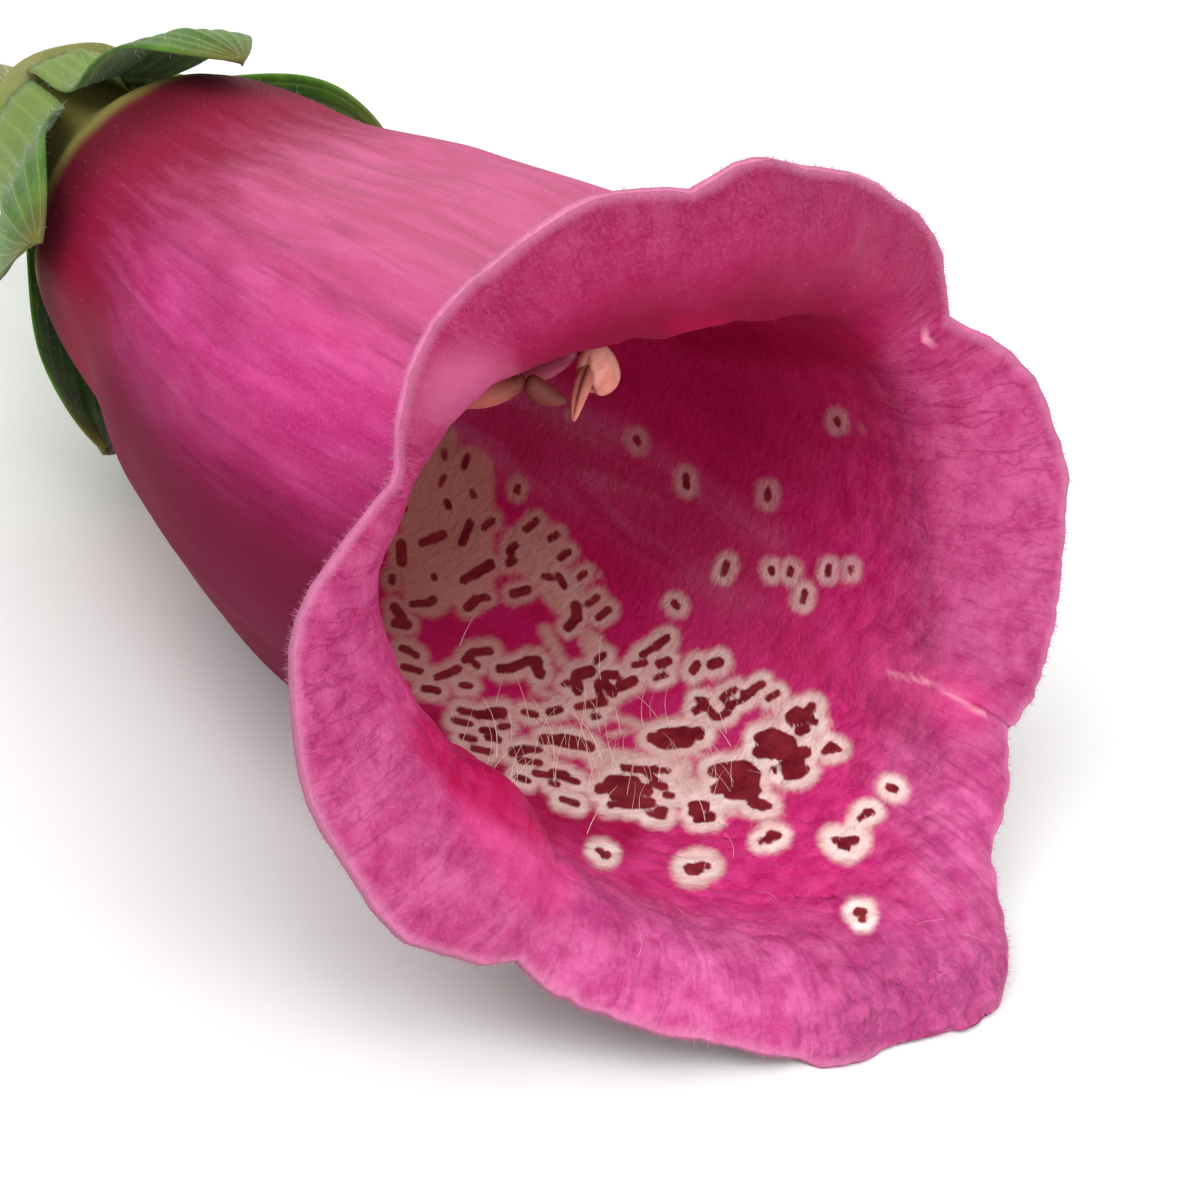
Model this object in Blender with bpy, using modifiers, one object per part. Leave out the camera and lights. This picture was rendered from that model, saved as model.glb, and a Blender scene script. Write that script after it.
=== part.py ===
# Foxglove floret, picked and lying on its belly.
#
# Sizes are millimetres and degrees, and meshes are written in metres.
# The flower's own axis runs from its foot to its mouth, which faces -Y. "Along" is the distance from the
# foot down that axis. Round the axis, angle 0 is the belly, 90 the +X side, 180 the roof and -90 the -X side.
# The whole flower is then tipped nose down a little, so that belly and lower lip both touch the surface z = 0.

import math

import bmesh
import bpy
import numpy as np
from mathutils import Matrix, Vector

MM = 0.001
GAP = 0.3  # left between neighbours that touch on the real flower

# How it lies
nose_down = 2.2  # tip of the axis towards the mouth
axis_height = 9.28  # of the foot's centre above the surface
centre_x, centre_y = -0.705, -19.76  # middle of the flower's outline from above, counted from its foot

# Corolla tube: the outer radius at distances along the axis
tube_along = [0.0, 2.8, 8.5, 14.0, 20.0, 27.5, 35.0, 42.5]
tube_radius = [2.5, 2.7, 5.75, 6.95, 8.9, 9.9, 9.8, 9.8]
mouth_rise = 3.4  # how far the axis curves up by mouth_along
mouth_along = 41.5
petal_wall = 0.8
round_until, round_fades = 5.5, 18.0  # the foot is round, and the flat roof and the folds come in past it
roof_flattening = 2.0
belly_fold, fold_angle, fold_spread = 0.4, 58.0, 16.0  # shallow crease where belly and sides meet
belly_sag, sag_along, sag_spread = 1.0, 15.0, 7.0  # the belly's own fullness, behind the middle
shoulder, shoulder_angle, shoulder_width = 1.5, -127.0, 37.0  # the mouth is fuller on this side of the roof
shoulder_from, shoulder_over = 18.0, 16.0
dimple, dimple_width, dimple_from, dimple_over = 0.87, 14.0, 27.0, 9.0  # the shoulder's own notch draws in

# Where the tube turns out into the lip, along the axis
lip_start_belly = 45.6
lip_start_side = 36.5
lip_start_roof = 37.3

# Lip: reach of each lobe past the tube, between the notches that part them
notch_angle = [-172.0, -116.6, -52.0, 52.0, 117.0, 188.0]
notch_reach = [5.0, 0.5, 3.5, 1.8, 1.7, 5.0]
lobe_reach = [4.25, 5.4, 3.65, 3.95, 4.2]
lobe_fullness, lobe_crown = 2.4, 0.625  # powers of the curve that rounds each lobe
corner_angle, corner_width, corner_reach = 14.3, 13.0, 1.67  # lower lobe's fuller corner

# How far each part of the lip is turned out by its rim, and how early in its reach
belly_until, roof_from, part_blend = 38.0, 112.0, 28.0  # degrees from the belly
turn_belly, turn_side, turn_roof = 81.0, 86.0, 116.0
onset_belly, onset_side, onset_roof = 1.11, 0.61, 0.54

# Calyx: five sepals on a short cup round the corolla's foot
sepal_angle = [-108.0, -36.0, 36.0, 108.0, 180.0]
sepal_length = [11.5, 11.0, 11.0, 10.0, 12.0]
sepal_half_width = [34.0, 34.0, 34.0, 34.0, 25.0]  # degrees, at the cup
sepal_lift = [0.5, 0.3, 0.3, 0.2, 0.7]  # how far the tips stand off the corolla
sepal_fullness, sepal_point = 1.7, 0.8  # powers of the curve that shapes each blade
cup_depth = 2.4
sepal_wall = 0.7
calyx_gap = 0.45  # between calyx and corolla

# Stalk
stalk_length = 9.0
stalk_radius = 1.15
stalk_droop = 2.4
receptacle_radius = 3.5
receptacle_depth = 2.2

# Pistil
ovary_length, ovary_radius, ovary_foot = 6.5, 1.4, 1.12
ovary_taper = 2.2  # the power by which it narrows into the style
style_radius = 0.32
style_offset = 0.4  # to the +X side
stigma_along = 31.5
stigma_length, stigma_root = 1.5, 0.4
stigma_spread, stigma_drop = 0.5, 0.25  # of each lobe's tip, against its length
stigma_radii = [0.29, 0.42, 0.3]

# Stamens: side angle of each foot, its distance along, and its anther's centre (x, along, z)
stamens = {
    "long_near": dict(foot_angle=-48.0, foot_along=4.6, anther=(-4.1, 34.2, 5.35), turn=-38.0),
    "long_far": dict(foot_angle=48.0, foot_along=4.6, anther=(-0.95, 33.5, 5.0), turn=24.0),
    "short_near": dict(foot_angle=-128.0, foot_along=5.4, anther=(-3.3, 28.2, 4.9), turn=-30.0),
    "short_far": dict(foot_angle=128.0, foot_along=5.4, anther=(2.2, 28.6, 4.9), turn=30.0),
}
filament_radius, filament_taper = 0.38, 0.15
foot_gap = 0.42  # between a filament's foot and the tube's inner face
waist_along, waist_share = 14.0, 0.6  # each filament passes this share of the tube's radius there
bend_behind, bend_below, bend_out, bend_waist = 5.0, 3.4, 1.1, 0.15  # its last bend, under the anther
end_lift = 0.2
anther_length, anther_width, anther_height = 2.5, 1.35, 1.25
anther_spread = 24.0  # each cell's angle from the line across the flower
cell_offset = 0.9  # of each cell's centre from the anther's

# Mesh fineness
corolla_round, corolla_tube_rows, corolla_lip_rows, lip_steps = 64, 19, 9, 4
sepal_columns, sepal_rows = 12, 9
stalk_rows, ovary_rows, style_rows, filament_rows = 12, 5, 12, 16
cell_round, cell_rows = 10, 7


def curve_through(x, xs, ys):
    """A smooth curve through points that never overshoots them."""
    x, xs, ys = np.asarray(x, float), np.asarray(xs, float), np.asarray(ys, float)
    step = np.diff(xs)
    slope = np.diff(ys) / step
    tangent = np.zeros(len(xs))
    tangent[0], tangent[-1] = slope[0], slope[-1]
    for k in range(1, len(xs) - 1):
        if slope[k - 1] * slope[k] > 0:
            before, after = 2 * step[k] + step[k - 1], step[k] + 2 * step[k - 1]
            tangent[k] = (before + after) / (before / slope[k - 1] + after / slope[k])
    x = np.clip(x, xs[0], xs[-1])
    k = np.clip(np.searchsorted(xs, x, side="right") - 1, 0, len(xs) - 2)
    h = step[k]
    s = (x - xs[k]) / h
    return (
        ys[k] * (1 + 2 * s) * (1 - s) ** 2
        + tangent[k] * h * s * (1 - s) ** 2
        + ys[k + 1] * s * s * (3 - 2 * s)
        + tangent[k + 1] * h * s * s * (s - 1)
    )


def ease(x):
    x = np.clip(x, 0.0, 1.0)
    return x * x * (3 - 2 * x)


def wrapped(angle):
    return (np.asarray(angle, float) + 180.0) % 360.0 - 180.0


def hump(x, middle, width):
    return np.exp(-(((x - middle) / width) ** 2))


def tube_outline(along, angle):
    """Radius of the corolla tube's outer face."""
    along = np.asarray(along, float)
    turn = np.cos(np.radians(angle))
    flattened = roof_flattening * np.clip(-turn, 0, 1) ** 1.5 + belly_fold * hump(
        np.abs(wrapped(angle)), fold_angle, fold_spread)
    sag = belly_sag * hump(along, sag_along, sag_spread) * np.clip(turn, 0, 1) ** 4
    full = shoulder * hump(wrapped(angle - shoulder_angle), 0, shoulder_width)
    drawn_in = dimple * hump(wrapped(angle - notch_angle[1]), 0, dimple_width)
    return (
        curve_through(along, tube_along, tube_radius)
        - flattened * ease((along - round_until) / round_fades)
        + sag
        + full * ease((along - shoulder_from) / shoulder_over)
        - drawn_in * ease((along - dimple_from) / dimple_over)
    )


def lip_start(angle):
    turn = np.cos(np.radians(angle))
    middle = (lip_start_belly + lip_start_roof) / 2
    lean = (lip_start_belly - lip_start_roof) / 2
    return lip_start_side + lean * turn + (middle - lip_start_side) * turn**2


def lip_reach(angle):
    """Length of the lip past the tube: five round lobes between notches."""
    a = (np.asarray(angle, float) - notch_angle[0]) % 360.0 + notch_angle[0]
    reach = np.interp(a, notch_angle, notch_reach)
    for low, high, longest in zip(notch_angle[:-1], notch_angle[1:], lobe_reach):
        across = np.clip(2 * (a - low) / (high - low) - 1, -1, 1)
        crown = (1 - np.abs(across) ** lobe_fullness) ** lobe_crown
        reach = reach + (longest - np.interp((low + high) / 2, notch_angle, notch_reach)) * crown
    return reach + corner_reach * hump(a, corner_angle, corner_width)


def lip_turn(angle):
    """How far the lip turns out by its rim, and the power by which the turn sets in."""
    a = np.abs(wrapped(angle))
    belly = 1 - ease((a - belly_until) / part_blend)
    roof = ease((a - roof_from) / part_blend)
    side = 1 - belly - roof
    turn = belly * turn_belly + side * turn_side + roof * turn_roof
    onset = belly * onset_belly + side * onset_side + roof * onset_roof
    return np.radians(turn), onset


def placed(x, along, z):
    """A point of the flower, from its own axis to where it lies, in metres."""
    z = np.asarray(z, float) + mouth_rise * (np.asarray(along, float) / mouth_along) ** 2
    tip = math.radians(nose_down)
    y = -np.asarray(along, float)
    lying = (
        np.asarray(x, float) - centre_x,
        y * math.cos(tip) - z * math.sin(tip) - centre_y,
        z * math.cos(tip) + y * math.sin(tip) + axis_height,
    )
    return np.stack(np.broadcast_arrays(*lying), -1) * MM


def corolla_point_rows():
    """Rows of (radius, along, angle) from the foot to the lip's rim."""
    angle = np.linspace(-180.0, 180.0, corolla_round + 1)
    start = lip_start(angle)
    rows = []
    for k in range(corolla_tube_rows + 1):
        along = start * (k / corolla_tube_rows)
        rows.append((tube_outline(along, angle), along))
    radius, along = rows[-1]
    heading = np.arctan2(radius - rows[-2][0], along - rows[-2][1])
    reach, (turn, onset) = lip_reach(angle), lip_turn(angle)
    steps = lip_steps * corolla_lip_rows
    for k in range(steps):
        way = heading + turn * ((k + 0.5) / steps) ** onset
        radius = radius + np.sin(way) * reach / steps
        along = along + np.cos(way) * reach / steps
        if (k + 1) % lip_steps == 0:
            rows.append((radius, along))
    return angle, rows


def object_from(mesh, name, material):
    piece = bpy.data.objects.new(name, mesh)
    flower.objects.link(piece)
    mesh.materials.clear()
    mesh.materials.append(material)
    mesh.shade_smooth()
    mesh.set_sharp_from_angle(angle=math.radians(40))
    return piece


def sheet_mesh(name, points, closed_round):
    """A grid primitive laid over rows of points. A sheet that closes on itself has its seam merged."""
    rows, columns = points.shape[:2]
    bm = bmesh.new()
    bmesh.ops.create_grid(bm, x_segments=columns - 1, y_segments=rows - 1, size=0.5)
    for vert in bm.verts:
        column = round((vert.co.x + 0.5) * (columns - 1))
        row = round((vert.co.y + 0.5) * (rows - 1))
        vert.co = points[row, column]
    if closed_round:
        bmesh.ops.remove_doubles(bm, verts=bm.verts, dist=1e-6)
    bmesh.ops.triangulate(bm, faces=bm.faces)
    mesh = bpy.data.meshes.new(name)
    bm.to_mesh(mesh)
    bm.free()
    return mesh


def thicken(piece, wall):
    solid = piece.modifiers.new("wall", "SOLIDIFY")
    solid.thickness = wall * MM
    solid.offset = -1


def make_corolla():
    angle, rows = corolla_point_rows()
    radians = np.radians(angle)
    points = np.array([placed(r * np.sin(radians), a, -r * np.cos(radians)) for r, a in rows])
    points[..., 2] = np.maximum(points[..., 2], 0.0)  # pressed flat where it lies
    piece = object_from(sheet_mesh("corolla", points, True), "corolla", petal)
    thicken(piece, petal_wall)
    return piece


def sepal_share(angle):
    """Which sepal an angle belongs to, and how far across it the angle lies, from -1 to 1."""
    offsets = [abs(float(wrapped(angle - middle))) / half
               for middle, half in zip(sepal_angle, sepal_half_width)]
    nearest = int(np.argmin(offsets))
    return nearest, min(offsets[nearest], 1.0)


def make_calyx():
    columns = sepal_columns * len(sepal_angle)
    points = np.zeros((sepal_rows + 3, columns + 1, 3))
    for column in range(columns + 1):
        angle = -180.0 + 360.0 * column / columns
        sepal, across = sepal_share(angle)
        blade = (sepal_length[sepal] - cup_depth) * (1 - across**sepal_fullness) ** sepal_point
        stops = [0.0, cup_depth / 2] + [cup_depth + blade * k / sepal_rows for k in range(sepal_rows + 1)]
        for row, along in enumerate(stops):
            tipward = max(along - cup_depth, 0.0) / (sepal_length[sepal] - cup_depth)
            stand_off = calyx_gap + sepal_wall + sepal_lift[sepal] * math.sin(2 * tipward)
            radius = float(tube_outline(along, angle)) + stand_off
            points[row, column] = placed(
                radius * math.sin(math.radians(angle)), along, -radius * math.cos(math.radians(angle)))
    piece = object_from(sheet_mesh("calyx", points, True), "calyx", sepal_green)
    thicken(piece, sepal_wall)
    return piece


def tube_along_points(name, points, radii, material, sides=2):
    """A round stem through points, with its own radius at each."""
    curve = bpy.data.curves.new(name, "CURVE")
    curve.dimensions = "3D"
    curve.bevel_depth = 1.0 * MM
    curve.bevel_resolution = sides
    curve.use_fill_caps = True
    spline = curve.splines.new("POLY")
    spline.points.add(len(points) - 1)
    for stop, place, radius in zip(spline.points, points, radii):
        stop.co = (*place, 1.0)
        stop.radius = radius
    piece = bpy.data.objects.new(name, curve)
    flower.objects.link(piece)
    curve.materials.append(material)
    return piece


def as_mesh(piece):
    """The piece's finished shape as a plain mesh object, with its caps joined on."""
    bpy.context.view_layer.update()
    finished = piece.evaluated_get(bpy.context.evaluated_depsgraph_get())
    mesh = bpy.data.meshes.new_from_object(finished)
    mesh.transform(piece.matrix_world)
    name, material = piece.name, piece.data.materials[0]
    bpy.data.objects.remove(piece)
    bm = bmesh.new()
    bm.from_mesh(mesh)
    bmesh.ops.remove_doubles(bm, verts=bm.verts, dist=1e-6)
    bm.to_mesh(mesh)
    bm.free()
    return object_from(mesh, name, material)


def make_stalk():
    stops, radii = [], []
    for k in range(stalk_rows + 1):
        back = stalk_length * k / stalk_rows
        knob = receptacle_radius - stalk_radius
        radii.append(stalk_radius + knob * (1 - ease(back / receptacle_depth)))
        droop = stalk_droop * (back / stalk_length) ** 2
        stops.append(placed(0.0, -GAP - back, -droop))
    return tube_along_points("stalk", stops, radii, stalk_green, 3)


def style_place(along):
    """The style climbs from the ovary to just under the roof."""
    roof = float(tube_outline(stigma_along, 180.0)) - petal_wall
    climb = ease((along - ovary_length) / (stigma_along - ovary_length))
    return placed(style_offset * climb, along, (roof - GAP - style_radius) * climb)


def make_pistil():
    stops, radii = [placed(0, 0, 0)], [ovary_foot]
    for k in range(1, ovary_rows + 1):
        along = ovary_length * k / ovary_rows
        stops.append(style_place(along))
        radii.append(ovary_radius * (1 - (along / ovary_length) ** ovary_taper) + style_radius)
    for k in range(1, style_rows + 1):
        stops.append(style_place(ovary_length + (stigma_along - ovary_length) * k / style_rows))
        radii.append(style_radius)
    style = as_mesh(tube_along_points("pistil", stops, radii, pistil_green))
    parts = bpy.data.collections.new("pistil ends")
    for side in (-1, 1):
        base, end = Vector(style_place(stigma_along - stigma_root)), Vector(style_place(stigma_along))
        along = (end - base).normalized()
        way = along + Vector((side * stigma_spread, 0, -stigma_drop))
        tip = base + way.normalized() * stigma_length * MM
        lobe_points = [base, (base + tip) / 2, tip]
        lobe = as_mesh(tube_along_points("stigma lobe", lobe_points, stigma_radii, pistil_green))
        move_to(lobe, parts)
    join_with(style, parts)
    return style


def move_to(piece, collection):
    for home in list(piece.users_collection):
        home.objects.unlink(piece)
    collection.objects.link(piece)


def join_with(piece, parts):
    """One Boolean union of a piece with a collection of others, which are then removed."""
    union = piece.modifiers.new("union", "BOOLEAN")
    union.operation = "UNION"
    union.operand_type = "COLLECTION"
    union.collection = parts
    union.solver = "MANIFOLD"
    bpy.context.view_layer.update()
    finished = piece.evaluated_get(bpy.context.evaluated_depsgraph_get())
    mesh = bpy.data.meshes.new_from_object(finished)
    piece.modifiers.clear()
    piece.data = mesh
    for part in list(parts.objects):
        bpy.data.objects.remove(part)
    bpy.data.collections.remove(parts)


def make_filament(name, stamen):
    """From the corolla's inner wall at its foot, up along the side, to its anther under the roof."""
    turn = math.radians(stamen["foot_angle"])
    foot_along = stamen["foot_along"]
    wall = float(tube_outline(foot_along, stamen["foot_angle"])) - petal_wall
    foot_radius = wall - foot_gap - filament_radius
    foot = np.array([foot_radius * math.sin(turn), foot_along, -foot_radius * math.cos(turn)])
    waist_radius = float(tube_outline(waist_along, stamen["foot_angle"])) * waist_share
    waist = np.array([waist_radius * math.sin(turn), waist_along, -waist_radius * math.cos(turn)])
    x, along, z = stamen["anther"]
    end = np.array([x, along - anther_height / 2 - GAP - filament_radius, z + end_lift])
    bend = np.array([x * bend_out + waist[0] * bend_waist, along - bend_behind, z - bend_below])
    stops, radii = [], []
    for k in range(filament_rows + 1):
        s = k / filament_rows
        weights = ((1 - s) ** 3, 3 * s * (1 - s) ** 2, 3 * s * s * (1 - s), s**3)
        stops.append(placed(*sum(w * p for w, p in zip(weights, (foot, waist, bend, end)))))
        radii.append(filament_radius * (1 - filament_taper * s))
    return tube_along_points("filament_" + name, stops, radii, filament_pink)


def make_anther(name, stamen):
    """Two pollen sacs that meet at the top and part below."""
    x, along, z = stamen["anther"]
    centre = Vector(placed(x, along, z))
    cells = []
    for side in (-1, 1):
        bm = bmesh.new()
        bmesh.ops.create_uvsphere(bm, u_segments=cell_round, v_segments=cell_rows, radius=0.5)
        bmesh.ops.scale(bm, vec=Vector((anther_length, anther_width, anther_height)) * MM, verts=bm.verts)
        bmesh.ops.translate(bm, vec=Vector((side * cell_offset * MM, 0, 0)), verts=bm.verts)
        rotate(bm, Vector((0, 1, 0)), math.radians(side * anther_spread))
        rotate(bm, Vector((0, 0, 1)), math.radians(stamen["turn"]))
        bmesh.ops.translate(bm, vec=centre, verts=bm.verts)
        mesh = bpy.data.meshes.new("cell")
        bm.to_mesh(mesh)
        bm.free()
        cells.append(object_from(mesh, "anther_" + name, anther_cream))
    parts = bpy.data.collections.new("cells")
    move_to(cells[1], parts)
    join_with(cells[0], parts)
    return cells[0]


def rotate(bm, axis, angle):
    bmesh.ops.rotate(bm, cent=(0, 0, 0), matrix=Matrix.Rotation(angle, 3, axis), verts=bm.verts)


def material(name, colour, roughness):
    made = bpy.data.materials.new(name)
    made.use_nodes = True
    shader = made.node_tree.nodes["Principled BSDF"]
    shader.inputs["Base Color"].default_value = (*colour, 1.0)
    shader.inputs["Roughness"].default_value = roughness
    shader.inputs["Metallic"].default_value = 0.0
    return made


for old in list(bpy.data.objects):
    bpy.data.objects.remove(old)

flower = bpy.data.collections.new("foxglove floret")
bpy.context.scene.collection.children.link(flower)

petal = material("corolla petal", (0.60, 0.07, 0.25), 0.55)
sepal_green = material("sepal", (0.16, 0.26, 0.05), 0.6)
stalk_green = material("stalk", (0.26, 0.34, 0.10), 0.6)
pistil_green = material("pistil", (0.55, 0.50, 0.28), 0.5)
filament_pink = material("filament", (0.72, 0.42, 0.46), 0.45)
anther_cream = material("anther", (0.72, 0.34, 0.18), 0.5)

make_corolla()
make_calyx()
make_stalk()
make_pistil()
for stamen_name, stamen_sizes in stamens.items():
    make_filament(stamen_name, stamen_sizes)
    make_anther(stamen_name, stamen_sizes)
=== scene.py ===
# The looks of a foxglove floret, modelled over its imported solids.
# Sizes in the dictionaries are millimetres and degrees, and meshes are written in metres.
# "Along" is the distance from the flower's foot down its own axis, towards the mouth, which faces -Y.
# Round that axis, angle 0 is the belly, 90 the +X side, 180 the roof and -90 the -X side.

import math

import bmesh
import bpy
import numpy as np
from mathutils import Matrix, Vector
from mathutils.bvhtree import BVHTree


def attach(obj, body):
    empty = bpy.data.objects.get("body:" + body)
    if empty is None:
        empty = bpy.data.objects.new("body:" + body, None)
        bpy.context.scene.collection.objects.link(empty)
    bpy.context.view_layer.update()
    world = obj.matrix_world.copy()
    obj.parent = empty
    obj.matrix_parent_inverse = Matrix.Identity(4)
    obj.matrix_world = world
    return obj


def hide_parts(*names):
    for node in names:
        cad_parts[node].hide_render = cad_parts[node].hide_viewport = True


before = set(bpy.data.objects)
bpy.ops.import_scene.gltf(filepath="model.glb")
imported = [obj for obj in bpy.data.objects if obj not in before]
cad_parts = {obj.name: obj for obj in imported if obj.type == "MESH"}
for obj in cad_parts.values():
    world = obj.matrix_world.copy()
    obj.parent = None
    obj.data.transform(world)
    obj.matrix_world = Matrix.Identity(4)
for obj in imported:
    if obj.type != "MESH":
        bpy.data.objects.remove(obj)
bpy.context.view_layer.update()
mm = 0.001

# How the flower lies, and the axis of its tube
lie = dict(noseDown=2.2, axisHeight=9.28, centreX=-0.705, centreY=-19.76, mouthRise=3.4, mouthAlong=41.5)


def linked(name, data):
    # a new object of the scene, which holds the data
    item = bpy.data.objects.new(name, data)
    bpy.context.scene.collection.objects.link(item)
    return item


# Plain sums on curves and points

def curveThrough(x, xs, ys):
    # a smooth curve through points that never overshoots them
    x, xs, ys = np.asarray(x, float), np.asarray(xs, float), np.asarray(ys, float)
    step = np.diff(xs)
    slope = np.diff(ys) / step
    tangent = np.zeros(len(xs))
    tangent[0], tangent[-1] = slope[0], slope[-1]
    for k in range(1, len(xs) - 1):
        if slope[k - 1] * slope[k] > 0:
            before, after = 2 * step[k] + step[k - 1], step[k] + 2 * step[k - 1]
            tangent[k] = (before + after) / (before / slope[k - 1] + after / slope[k])
    x = np.clip(x, xs[0], xs[-1])
    k = np.clip(np.searchsorted(xs, x, side="right") - 1, 0, len(xs) - 2)
    h = step[k]
    s = (x - xs[k]) / h
    return (
        ys[k] * (1 + 2 * s) * (1 - s) ** 2
        + tangent[k] * h * s * (1 - s) ** 2
        + ys[k + 1] * s * s * (3 - 2 * s)
        + tangent[k + 1] * h * s * s * (s - 1)
    )


def ease(x):
    x = np.clip(x, 0.0, 1.0)
    return x * x * (3 - 2 * x)


def wrapped(angle):
    return (np.asarray(angle, float) + 180.0) % 360.0 - 180.0


def hump(x, middle, width):
    return np.exp(-(((x - middle) / width) ** 2))


def swell(points, height, wavelength, seed, stretch=(1, 1, 1), waves=28):
    # soft random relief of about that height either way, a sum of plane waves, the same each run
    draw = np.random.default_rng(seed)
    ways = draw.normal(size=(waves, 3))
    ways /= np.linalg.norm(ways, axis=1)[:, None]
    ways *= 2 * math.pi / (wavelength * draw.uniform(0.7, 1.4, waves))[:, None] / np.array(stretch)
    phases = draw.uniform(0, 2 * math.pi, waves)
    total = np.zeros(points.shape[:-1])
    for way, phase in zip(ways, phases):
        total += np.cos(points @ way + phase)
    return height * (total / math.sqrt(waves))


def turned(vector):
    # a direction of the flower's own axes, as it lies
    tip = math.radians(lie["noseDown"])
    x, y, z = (np.asarray(vector, float)[..., k] for k in range(3))
    return np.stack([x, y * math.cos(tip) - z * math.sin(tip), z * math.cos(tip) + y * math.sin(tip)], -1)


def placed(x, along, z):
    # a point of the flower, from its own axis to where it lies, in millimetres
    x, along, z = np.broadcast_arrays(*(np.asarray(v, float) for v in (x, along, z)))
    lifted = z + lie["mouthRise"] * (along / lie["mouthAlong"]) ** 2
    point = turned(np.stack([x, -along, lifted], -1))
    return point + np.array([-lie["centreX"], -lie["centreY"], lie["axisHeight"]])


def aroundAxis(radius, along, angle):
    turn = np.radians(angle)
    return placed(radius * np.sin(turn), along, -radius * np.cos(turn))


# The camera, as the photograph was taken

picture = dict(
    side=1200.0, azimuth=-36.5, elevation=32.17, roll=4.07, distance=110.0, focal=3829.7,
    aimAlong=38.64, aimRight=-2.94, aimUp=1.60,
)


def cameraAxes():
    azimuth, elevation, roll = (math.radians(picture[k]) for k in ("azimuth", "elevation", "roll"))
    back = np.array([math.sin(azimuth) * math.cos(elevation), -math.cos(azimuth) * math.cos(elevation),
                     math.sin(elevation)])
    level = np.array([math.cos(azimuth), math.sin(azimuth), 0.0])
    upright = np.cross(back, level)
    right = level * math.cos(roll) + upright * math.sin(roll)
    up = upright * math.cos(roll) - level * math.sin(roll)
    aim = np.array([0.0, -picture["aimAlong"], 0.0]) + right * picture["aimRight"] + up * picture["aimUp"]
    middle = np.array([-lie["centreX"], -lie["centreY"], lie["axisHeight"]])
    place = turned(aim + back * picture["distance"]) + middle
    return place, turned(right), turned(up), turned(back)


def seenAt(points):
    # where points in millimetres fall in the picture, in its pixels
    place, right, up, back = cameraAxes()
    way = points - place
    depth = -(way @ back)
    half = picture["side"] / 2
    x = half + picture["focal"] * (way @ right) / depth
    y = half - picture["focal"] * (way @ up) / depth
    return np.stack([x, y], -1)


def makeCamera():
    place, right, up, back = cameraAxes()
    data = bpy.data.cameras.new("camera")
    data.sensor_width = 36.0
    data.lens = picture["focal"] / picture["side"] * data.sensor_width
    data.clip_start, data.clip_end = 0.005, 10.0
    camera = linked("camera", data)
    camera.matrix_world = Matrix((
        (right[0], up[0], back[0], place[0] * mm),
        (right[1], up[1], back[1], place[1] * mm),
        (right[2], up[2], back[2], place[2] * mm),
        (0, 0, 0, 1),
    ))
    bpy.context.scene.camera = camera


makeCamera()
print("camera made")


# Nodes and materials

def toLinear(code):
    channels = [int(code[k:k + 2], 16) / 255 for k in (1, 3, 5)]
    return tuple(c / 12.92 if c <= 0.04045 else ((c + 0.055) / 1.055) ** 2.4 for c in channels) + (1.0,)


def add(tree, kind, values=None, **settings):
    # adds a node. A value is a number, a hex colour, a socket, or a node, which gives its first output
    node = tree.nodes.new(kind)
    for name, setting in settings.items():
        setattr(node, name, setting)
    for name, value in (values or {}).items():
        socket = node.inputs[name] if isinstance(name, int) else next(
            s for s in node.inputs if s.name == name and s.enabled)
        if isinstance(value, bpy.types.Node):
            value = next(s for s in value.outputs if s.enabled)
        if isinstance(value, bpy.types.NodeSocket):
            tree.links.new(value, socket)
        elif isinstance(value, str) and value.startswith("#"):
            socket.default_value = toLinear(value)
        else:
            socket.default_value = value
    return node


def newMaterial(name, **sockets):
    # a Principled material with its plain settings: gives the material, its tree and its shader
    material = bpy.data.materials.new(name)
    material.use_nodes = True
    shader = material.node_tree.nodes["Principled BSDF"]
    for label, value in sockets.items():
        value = toLinear(value) if isinstance(value, str) else value
        shader.inputs[label.replace("_", " ")].default_value = value
    return material, material.node_tree, shader


def layered(tree, colour, *layers):
    # lays tints over a colour in turn. A layer is its share and its tint. Three numbers between them say from which
    # value of the first the share starts, at which it is full, and how much that is
    for share, *limits, tint in layers:
        if limits:
            start, full, most = limits
            values = {"Value": share, "From Min": start, "From Max": full, "To Max": most}
            share = add(tree, "ShaderNodeMapRange", values, interpolation_type="SMOOTHSTEP")
        colour = add(tree, "ShaderNodeMix", {"Factor": share, "A": colour, "B": tint}, data_type="RGBA")
    return colour


def drawnOut(tree, looks):
    # noises drawn out down the flower: width and length of their spots in millimetres, and their own settings
    flow = add(tree, "ShaderNodeAttribute", attribute_name="flow").outputs["Vector"]
    noises = []
    for width, length, settings in looks:
        stretch = (1 / width, 1 / width, 1 / length)
        place = add(tree, "ShaderNodeVectorMath", {0: flow, 1: stretch}, operation="MULTIPLY")
        noises.append(add(tree, "ShaderNodeTexNoise", {"Vector": place, "Scale": 1.0, **settings}))
    return noises


def dress(tree, shader, colour, *bumps):
    # gives the shader its colour and its bumps: what lifts each, its depth in millimetres, and its strength
    tree.links.new(colour.outputs[2], shader.inputs["Base Color"])
    under = {}
    for height, depth, strength in bumps:
        values = {"Height": height, "Distance": depth * mm, "Strength": strength}
        under = {"Normal": add(tree, "ShaderNodeBump", values | under)}
    if under:
        tree.links.new(under["Normal"].outputs[0], shader.inputs["Normal"])


# Meshes

def setAttribute(mesh, name, values):
    attribute = mesh.attributes.new(name, "FLOAT", "POINT")
    attribute.data.foreach_set("value", np.asarray(values, np.float32).ravel())


def setFlow(mesh, flow):
    # coordinates in millimetres that follow the surface: two round it, and one down its length
    attribute = mesh.attributes.new("flow", "FLOAT_VECTOR", "POINT")
    attribute.data.foreach_set("vector", np.asarray(flow, np.float32).ravel())


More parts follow.
